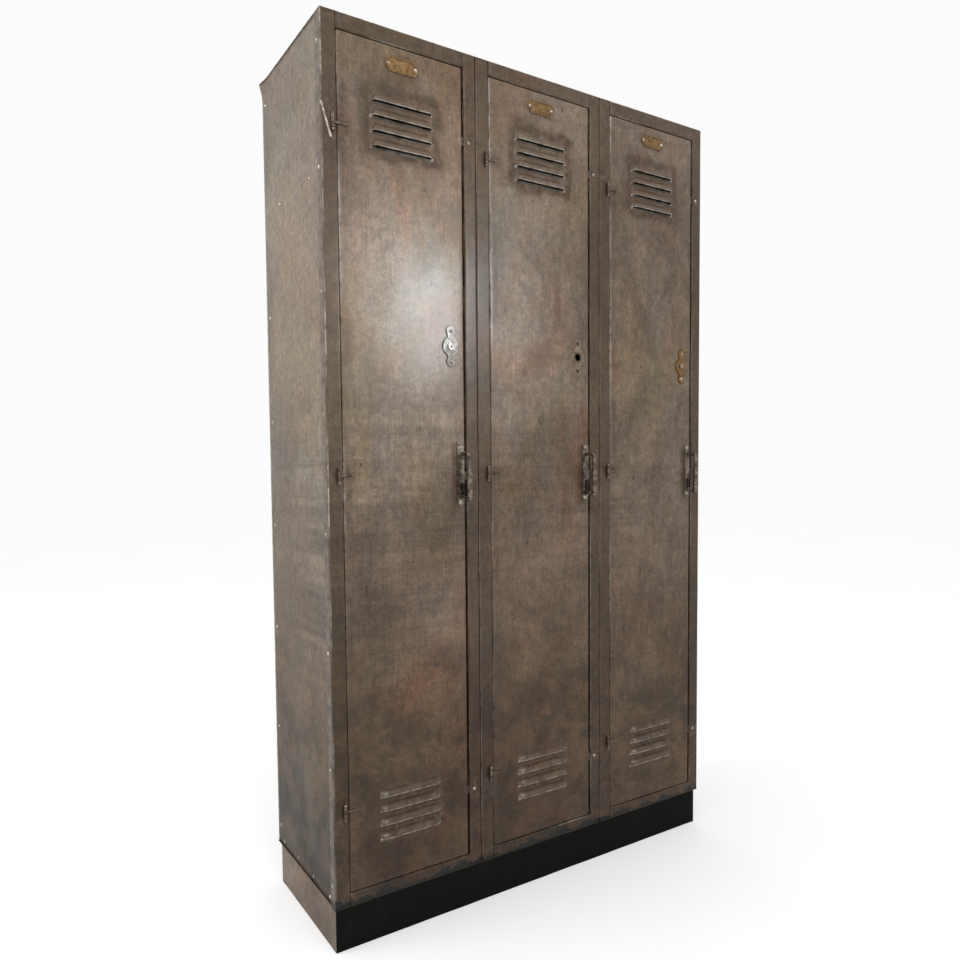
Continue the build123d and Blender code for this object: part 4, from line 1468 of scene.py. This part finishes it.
    def end_sheet(self, side: Side) -> None:
        """Flat end sheet behind the frame's wrapped edge, with ripples, dents and folds.

        Args:
            side: Which end of the bank.
        """
        b = self.bank
        plane = (b.left if side is Side.LEFT else b.right) - side.value * FRAME_SHEET
        across = self.stations(b.front + FRAME_SHEET, b.back, [b.back - 30 * MM, b.back - 25 * MM])
        across = across[:: side.value]
        up = self.stations(b.floor + SHEET, b.top - SHEET, [b.top - 30 * MM])
        y, z = np.meshgrid(across, up)
        wave = Ripple(7 + side.value, 0.55 * MM, 0.34).at(y, z)
        bands = 0.28 * MM * np.sin(2 * math.pi * (z + 0.10 * y) / 0.115) * near(z - 1.02, 0.30)
        dents = sum(-0.9 * MM * near(np.hypot(y - v, z - w), 0.030) for v, w in self.dents)
        rim = np.minimum.reduce([y - b.front, b.back - y, z - b.floor, b.top - z])
        still = 1 - near(rim - 14 * MM, 34 * MM) * (rim < 60 * MM)
        inward = (wave + bands + dents) * np.clip(still, 0, 1)
        points = np.stack([plane + side.value * np.minimum(inward, 0.5 * MM), y, z], -1)
        if side is Side.LEFT:
            points = self.knock(points)
        rust = 0.45 * near(b.back - y, 0.008) + 0.5 * near(z - b.floor, 0.02)
        rust += 0.5 * near(np.abs(y - b.front - self.jamb_return * MM), 2.5 * MM)
        wear_and_highlight = 0.55 * near(b.back - y, 2.5 * MM)
        name = "left_side_panel" if side is Side.LEFT else "right_side_panel"
        shell = Shell()
        shell.add(points, None, np.clip(rust, 0, 1), wear_and_highlight)
        shell.piece(f"end_sheet_{side.name.lower()}", Finishes.end, "cabinet", "bare_sheet_steel",
                    (name,), SHEET)

    def lid(self) -> None:
        """Top sheet with a rolled edge, sagging a little between the partitions."""
        b, r = self.bank, SHEET * 0.9
        turn = np.linspace(math.pi / 2, 0, 4)
        lines_x = self.stations(b.left + r, b.right - r, [b.left + 30 * MM])
        lines_y = self.stations(b.front + r, b.back - r, [b.back - 30 * MM])
        cx = np.concatenate([np.full(4, b.left + r), lines_x[1:-1], np.full(4, b.right - r)])
        ax = np.concatenate([-turn, 0 * lines_x[1:-1], turn[::-1]])
        cy = np.concatenate([np.full(4, b.front + r), lines_y[1:-1], np.full(4, b.back - r)])
        ay = np.concatenate([-turn, 0 * lines_y[1:-1], turn[::-1]])
        (cx, cy), (ax, ay) = np.meshgrid(cx, cy), np.meshgrid(ax, ay)
        way = np.stack([np.sin(ax), np.sin(ay), np.cos(ax) * np.cos(ay)], -1)
        way /= np.linalg.norm(way, axis=-1, keepdims=True)
        points = np.stack([cx, cy, np.full(cx.shape, b.top - r)], -1) + r * way
        rim = np.minimum.reduce([cx - b.left, b.right - cx, cy - b.front, b.back - cy])
        points[..., 2] -= np.abs(Ripple(5, 0.7 * MM, 0.28).at(cx, cy)) * (1 - near(rim, 45 * MM))
        points = self.knock(points)
        edge = 1 - np.cos(ax) * np.cos(ay)
        shell = Shell()
        shell.add(points, None, 0.15 + 0.5 * near(rim, 10 * MM) * (1 - edge), 0.85 * edge)
        shell.piece("lid_sheet", Finishes.end, "cabinet", "bare_sheet_steel", ("top_panel",), SHEET * 0.85)

    def back_sheet(self, locker: int) -> None:
        """Folds one back sheet: a face between two flanges, with rusty seams and slow ripples.

        Args:
            locker: Which locker.
        """
        node = f"back_panel_{locker + 1}"
        low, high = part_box(node)
        left = self.bank.at(locker, 0)
        holes = [self.anchor] if locker in self.anchored else []
        across = [left + x * MM for hole in holes for x in hole.lines()[0][::-1]]
        face_line = [(x, high.y) for x in (high.x, *across, low.x)]
        corners, bend = [(high.x, low.y), *face_line, (low.x, low.y)], 1.8 * MM
        outline, _ = finer(*bent_line(corners, [bend, *(0.0 for _ in across), bend]), 14 * MM)
        up = self.stations(low.z, high.z, [h * MM for hole in holes for h in hole.lines()[1]])
        x, z = np.meshgrid(outline[:, 0], up)
        y = np.broadcast_to(outline[:, 1], x.shape)
        rim = np.minimum(x - low.x, high.x - x)
        end = np.minimum(z - low.z, high.z - z)
        face = y > high.y - 0.5 * MM
        dip = np.abs(Ripple(20 + locker, 0.9 * MM, 0.30).at(x, z)) * (1 - near(np.minimum(rim, end), 40 * MM))
        points = np.stack([x, y - dip * face, z], -1)
        keep = np.ones((points.shape[0] - 1, points.shape[1] - 1), bool)
        rust = 0.75 * near(rim, 9 * MM) + 0.4 * near(end, 14 * MM)
        stain_and_shade = 0.6 * near(rim, 14 * MM) + 0.3 * near(end, 30 * MM)
        ragged = np.clip(Ripple(24 + locker, 0.8, 0.3).at(z, 0 * z), 0, 1)
        wear_and_highlight = 0.30 * near(rim - 0.5 * MM, 0.8 * MM) * ragged
        shell = Shell()
        for hole in holes:
            cut(shell, points, keep, hole, left, face)
        shell.add(points, keep, np.clip(rust, 0, 1), wear_and_highlight, np.clip(stain_and_shade, 0, 1))
        shell.piece(f"folded_back_sheet_{locker + 1}", Finishes.inner, "cabinet", "bare_sheet_steel",
                    (node,), SHEET)

    def base_front(self) -> None:
        """Front channel of the base, with rounded bends and a faint waver."""
        low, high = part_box("plinth_front")
        corners = [(high.y, low.z), (low.y, low.z), (low.y, high.z), (high.y, high.z)]
        outline, _ = bent_line(corners, [2.0 * MM, 2.0 * MM])
        x, y = np.meshgrid(self.stations(low.x, high.x), outline[:, 0])
        z = np.broadcast_to(outline[:, 1:], x.shape)
        face = np.clip(1 - (y - low.y) / (3 * MM), 0, 1)
        y = y + np.abs(Ripple(31, 0.5 * MM, 0.21).at(x, z)) * face
        shell = Shell()
        shell.add(np.stack([x, y, z], -1))
        shell.piece("painted_base_front", Finishes.paint, "cabinet", "black_paint",
                    ("plinth_front",), FRAME_SHEET)

    def build(self) -> None:
        """Makes every sheet of the cabinet."""
        for locker in range(self.bank.lockers):
            self.jamb(locker, Side.LEFT)
            self.jamb(locker, Side.RIGHT)
            self.rail(locker, "top_rail", self.bank.top - SHEET, self.bank.opening[1])
            self.rail(locker, "bottom_rail", self.bank.floor + SHEET, self.bank.opening[0])
            self.back_sheet(locker)
        self.end_sheet(Side.LEFT)
        self.end_sheet(Side.RIGHT)
        self.lid()
        self.base_front()


# ----------------------------------------------------------------------------- carried-over CAD
@dataclass(frozen=True)
class CadDress:
    """Finishes for the CAD nodes whose own shape is shown."""

    starts: tuple[tuple[str, Finish], ...] = (
        ("partition", Finishes.inner), ("back_panel", Finishes.inner), ("floor_panel", Finishes.inner),
        ("hat_shelf", Finishes.inner), ("plinth", Finishes.base), ("pull_handle", Finishes.handle),
        ("lift_sleeve", Finishes.handle), ("lock_bar", Finishes.latch), ("latch_catches", Finishes.latch),
        ("coat_hooks", Finishes.latch), ("hinge_pins", Finishes.pin), ("hinge", Finishes.hinge),
        ("door_rivets", Finishes.rivet), ("frame_rivets", Finishes.rivet),
        ("lock_escutcheon_3", Finishes.brass), ("lock_plug", Finishes.plug), ("lock", Finishes.lock),
        ("number_plate", Finishes.brass), ("", Finishes.inner),
    )

    def build(self) -> None:
        """Gives each CAD node the first finish whose start its name has."""
        for name, node in frame["nodes"].items():
            finish = next(f for start, f in self.starts if name.startswith(start))
            for slot in node.material_slots:
                slot.material = Finishes.get(finish)
            log.info("%s keeps its own shape, as %s", name, finish.name)


# ------------------------------------------------------------------------------------ the studio
@dataclass(frozen=True)
class Studio:
    """Camera, floor and soft lights."""

    bank: Bank
    eye: tuple[float, float, float] = (-0.494, -1.218, 0.848)
    yaw: float = math.radians(32.37)
    pitch: float = math.radians(-3.01)
    roll: float = math.radians(-0.54)
    lens: float = 28.78
    film: float = 36.0
    shift: Pair = (0.0129, 0.0265)
    half_floor: float = 30.0
    seen_white: float = 0.97
    sky_colour: Colour = (1.0, 0.985, 0.965)
    sky_strength: float = 0.8
    cool: Colour = (0.80, 0.92, 1.0)

    def eye_place(self) -> Vector:
        """The camera's place, given from the bank's front left bottom corner."""
        return Vector(self.eye) + Vector((self.bank.left, self.bank.front, 0))

    def camera(self) -> None:
        """Sets up the camera from its yaw, pitch and roll."""
        cy, sy, cp, sp = math.cos(self.yaw), math.sin(self.yaw), math.cos(self.pitch), math.sin(self.pitch)
        ahead, right = Vector((cp * sy, cp * cy, sp)), Vector((cy, -sy, 0))
        up = right.cross(ahead)
        tilted = right * math.cos(self.roll) + up * math.sin(self.roll)
        upright = up * math.cos(self.roll) - right * math.sin(self.roll)
        data = bpy.data.cameras.new("camera")
        data.lens, data.sensor_width = self.lens, self.film
        data.shift_x, data.shift_y = self.shift
        data.clip_end = 2 * self.half_floor
        made = bpy.data.objects.new("camera", data)
        turned = Matrix((tilted, upright, -ahead)).transposed().to_4x4()
        made.matrix_world = Matrix.Translation(self.eye_place()) @ turned
        bpy.context.scene.collection.objects.link(made)
        bpy.context.scene.camera = made

    def lamp(self, name: str, place: Vector, target: Vector, size: Pair, power: float,
             cone: float = 180.0, colour: Colour = (1.0, 1.0, 1.0)) -> None:
        """Adds a rectangular area light.

        Args:
            name: Name of the light.
            place: Where it stands.
            target: What it faces.
            size: Its width and height.
            power: Power in watts.
            cone: How wide its light spreads, in degrees.
            colour: Colour of its light.
        """
        data = bpy.data.lights.new(name, "AREA")
        data.shape, data.energy = "RECTANGLE", power
        data.size, data.size_y = size
        data.spread, data.color = math.radians(cone), colour
        made = bpy.data.objects.new(name, data)
        facing = (target - place).to_track_quat("-Z", "Y").to_matrix().to_4x4()
        made.matrix_world = Matrix.Translation(place) @ facing
        bpy.context.scene.collection.objects.link(made)

    def glint(self, name: str, spot: Vector, reach: float, size: Pair, power: float, cone: float) -> None:
        """Adds a light whose reflection in the doors falls on a chosen spot.

        The light stands on the ray from the camera to the spot, mirrored in the doors' plane.

        Args:
            name: Name of the light.
            spot: Place on the doors where the reflection falls.
            reach: Distance of the light from the spot.
            size: Its width and height.
            power: Power in watts.
            cone: How wide its light spreads, in degrees.
        """
        ray = (spot - self.eye_place()).normalized()
        mirrored = spot + reach * Vector((ray.x, -ray.y, ray.z))
        self.lamp(name, mirrored, spot, size, power, cone, self.cool)

    def floor(self) -> None:
        """Lays the pale floor."""
        half = self.half_floor
        corners = [(-half, -half, 0), (half, -half, 0), (half, half, 0), (-half, half, 0)]
        mesh = bpy.data.meshes.new("pale_floor")
        mesh.from_pydata(corners, [], [(0, 1, 2, 3)])
        mesh.materials.append(Finishes.get(PaleFloor()))
        made = bpy.data.objects.new("pale_floor", mesh)
        bpy.context.scene.collection.objects.link(made)

    def sky(self) -> None:
        """White surroundings that light the object evenly and fill the background."""
        world = bpy.data.worlds.new("studio")
        world.use_nodes = True
        tree = world.node_tree
        seen, lit = tree.nodes.new("ShaderNodeBackground"), tree.nodes["Background"]
        seen.inputs["Color"].default_value = (1.0, 1.0, 1.0, 1.0)
        seen.inputs["Strength"].default_value = self.seen_white
        lit.inputs["Color"].default_value = (*self.sky_colour, 1.0)
        lit.inputs["Strength"].default_value = self.sky_strength
        path, mix = tree.nodes.new("ShaderNodeLightPath"), tree.nodes.new("ShaderNodeMixShader")
        tree.links.new(path.outputs["Is Camera Ray"], mix.inputs[0])
        tree.links.new(lit.outputs[0], mix.inputs[1])
        tree.links.new(seen.outputs[0], mix.inputs[2])
        tree.links.new(mix.outputs[0], tree.nodes["World Output"].inputs["Surface"])
        bpy.context.scene.world = world

    def build(self) -> None:
        """Sets the whole studio."""
        self.camera()
        self.floor()
        self.sky()
        bpy.context.scene.view_settings.view_transform = "Standard"
        middle = Vector((0, self.bank.front, 0.9))
        door, foot = ((self.bank.at(0, across), self.bank.front) for across in (196, 235))
        self.glint("flash", Vector((*door, 1.13)), 1.6, (0.17, 0.32), 0.28, 26.0)
        self.glint("low_glint", Vector((*foot, 0.56)), 1.6, (0.03, 0.20), 0.05, 60.0)
        self.lamp("overhead", Vector((-0.6, -2.2, 3.2)), middle, (1.8, 1.8), 23.0)
        self.lamp("left_fill", Vector((-3.0, 0.6, 2.3)), Vector((self.bank.left, 0, 1.1)), (1.6, 1.6), 27.0)


def main() -> None:
    """Builds the lockers' pieces in order, then the studio."""
    logging.basicConfig(level=logging.INFO, format="%(name)s: %(message)s")
    bank = Bank.from_frame()
    CadDress().build()
    Cabinet(bank).build()
    for locker in range(bank.lockers):
        DoorSkin(bank, locker).build()
        NumberPlate(bank, locker).build()
    Studio(bank).build()


if __name__ == "__main__":
    main()
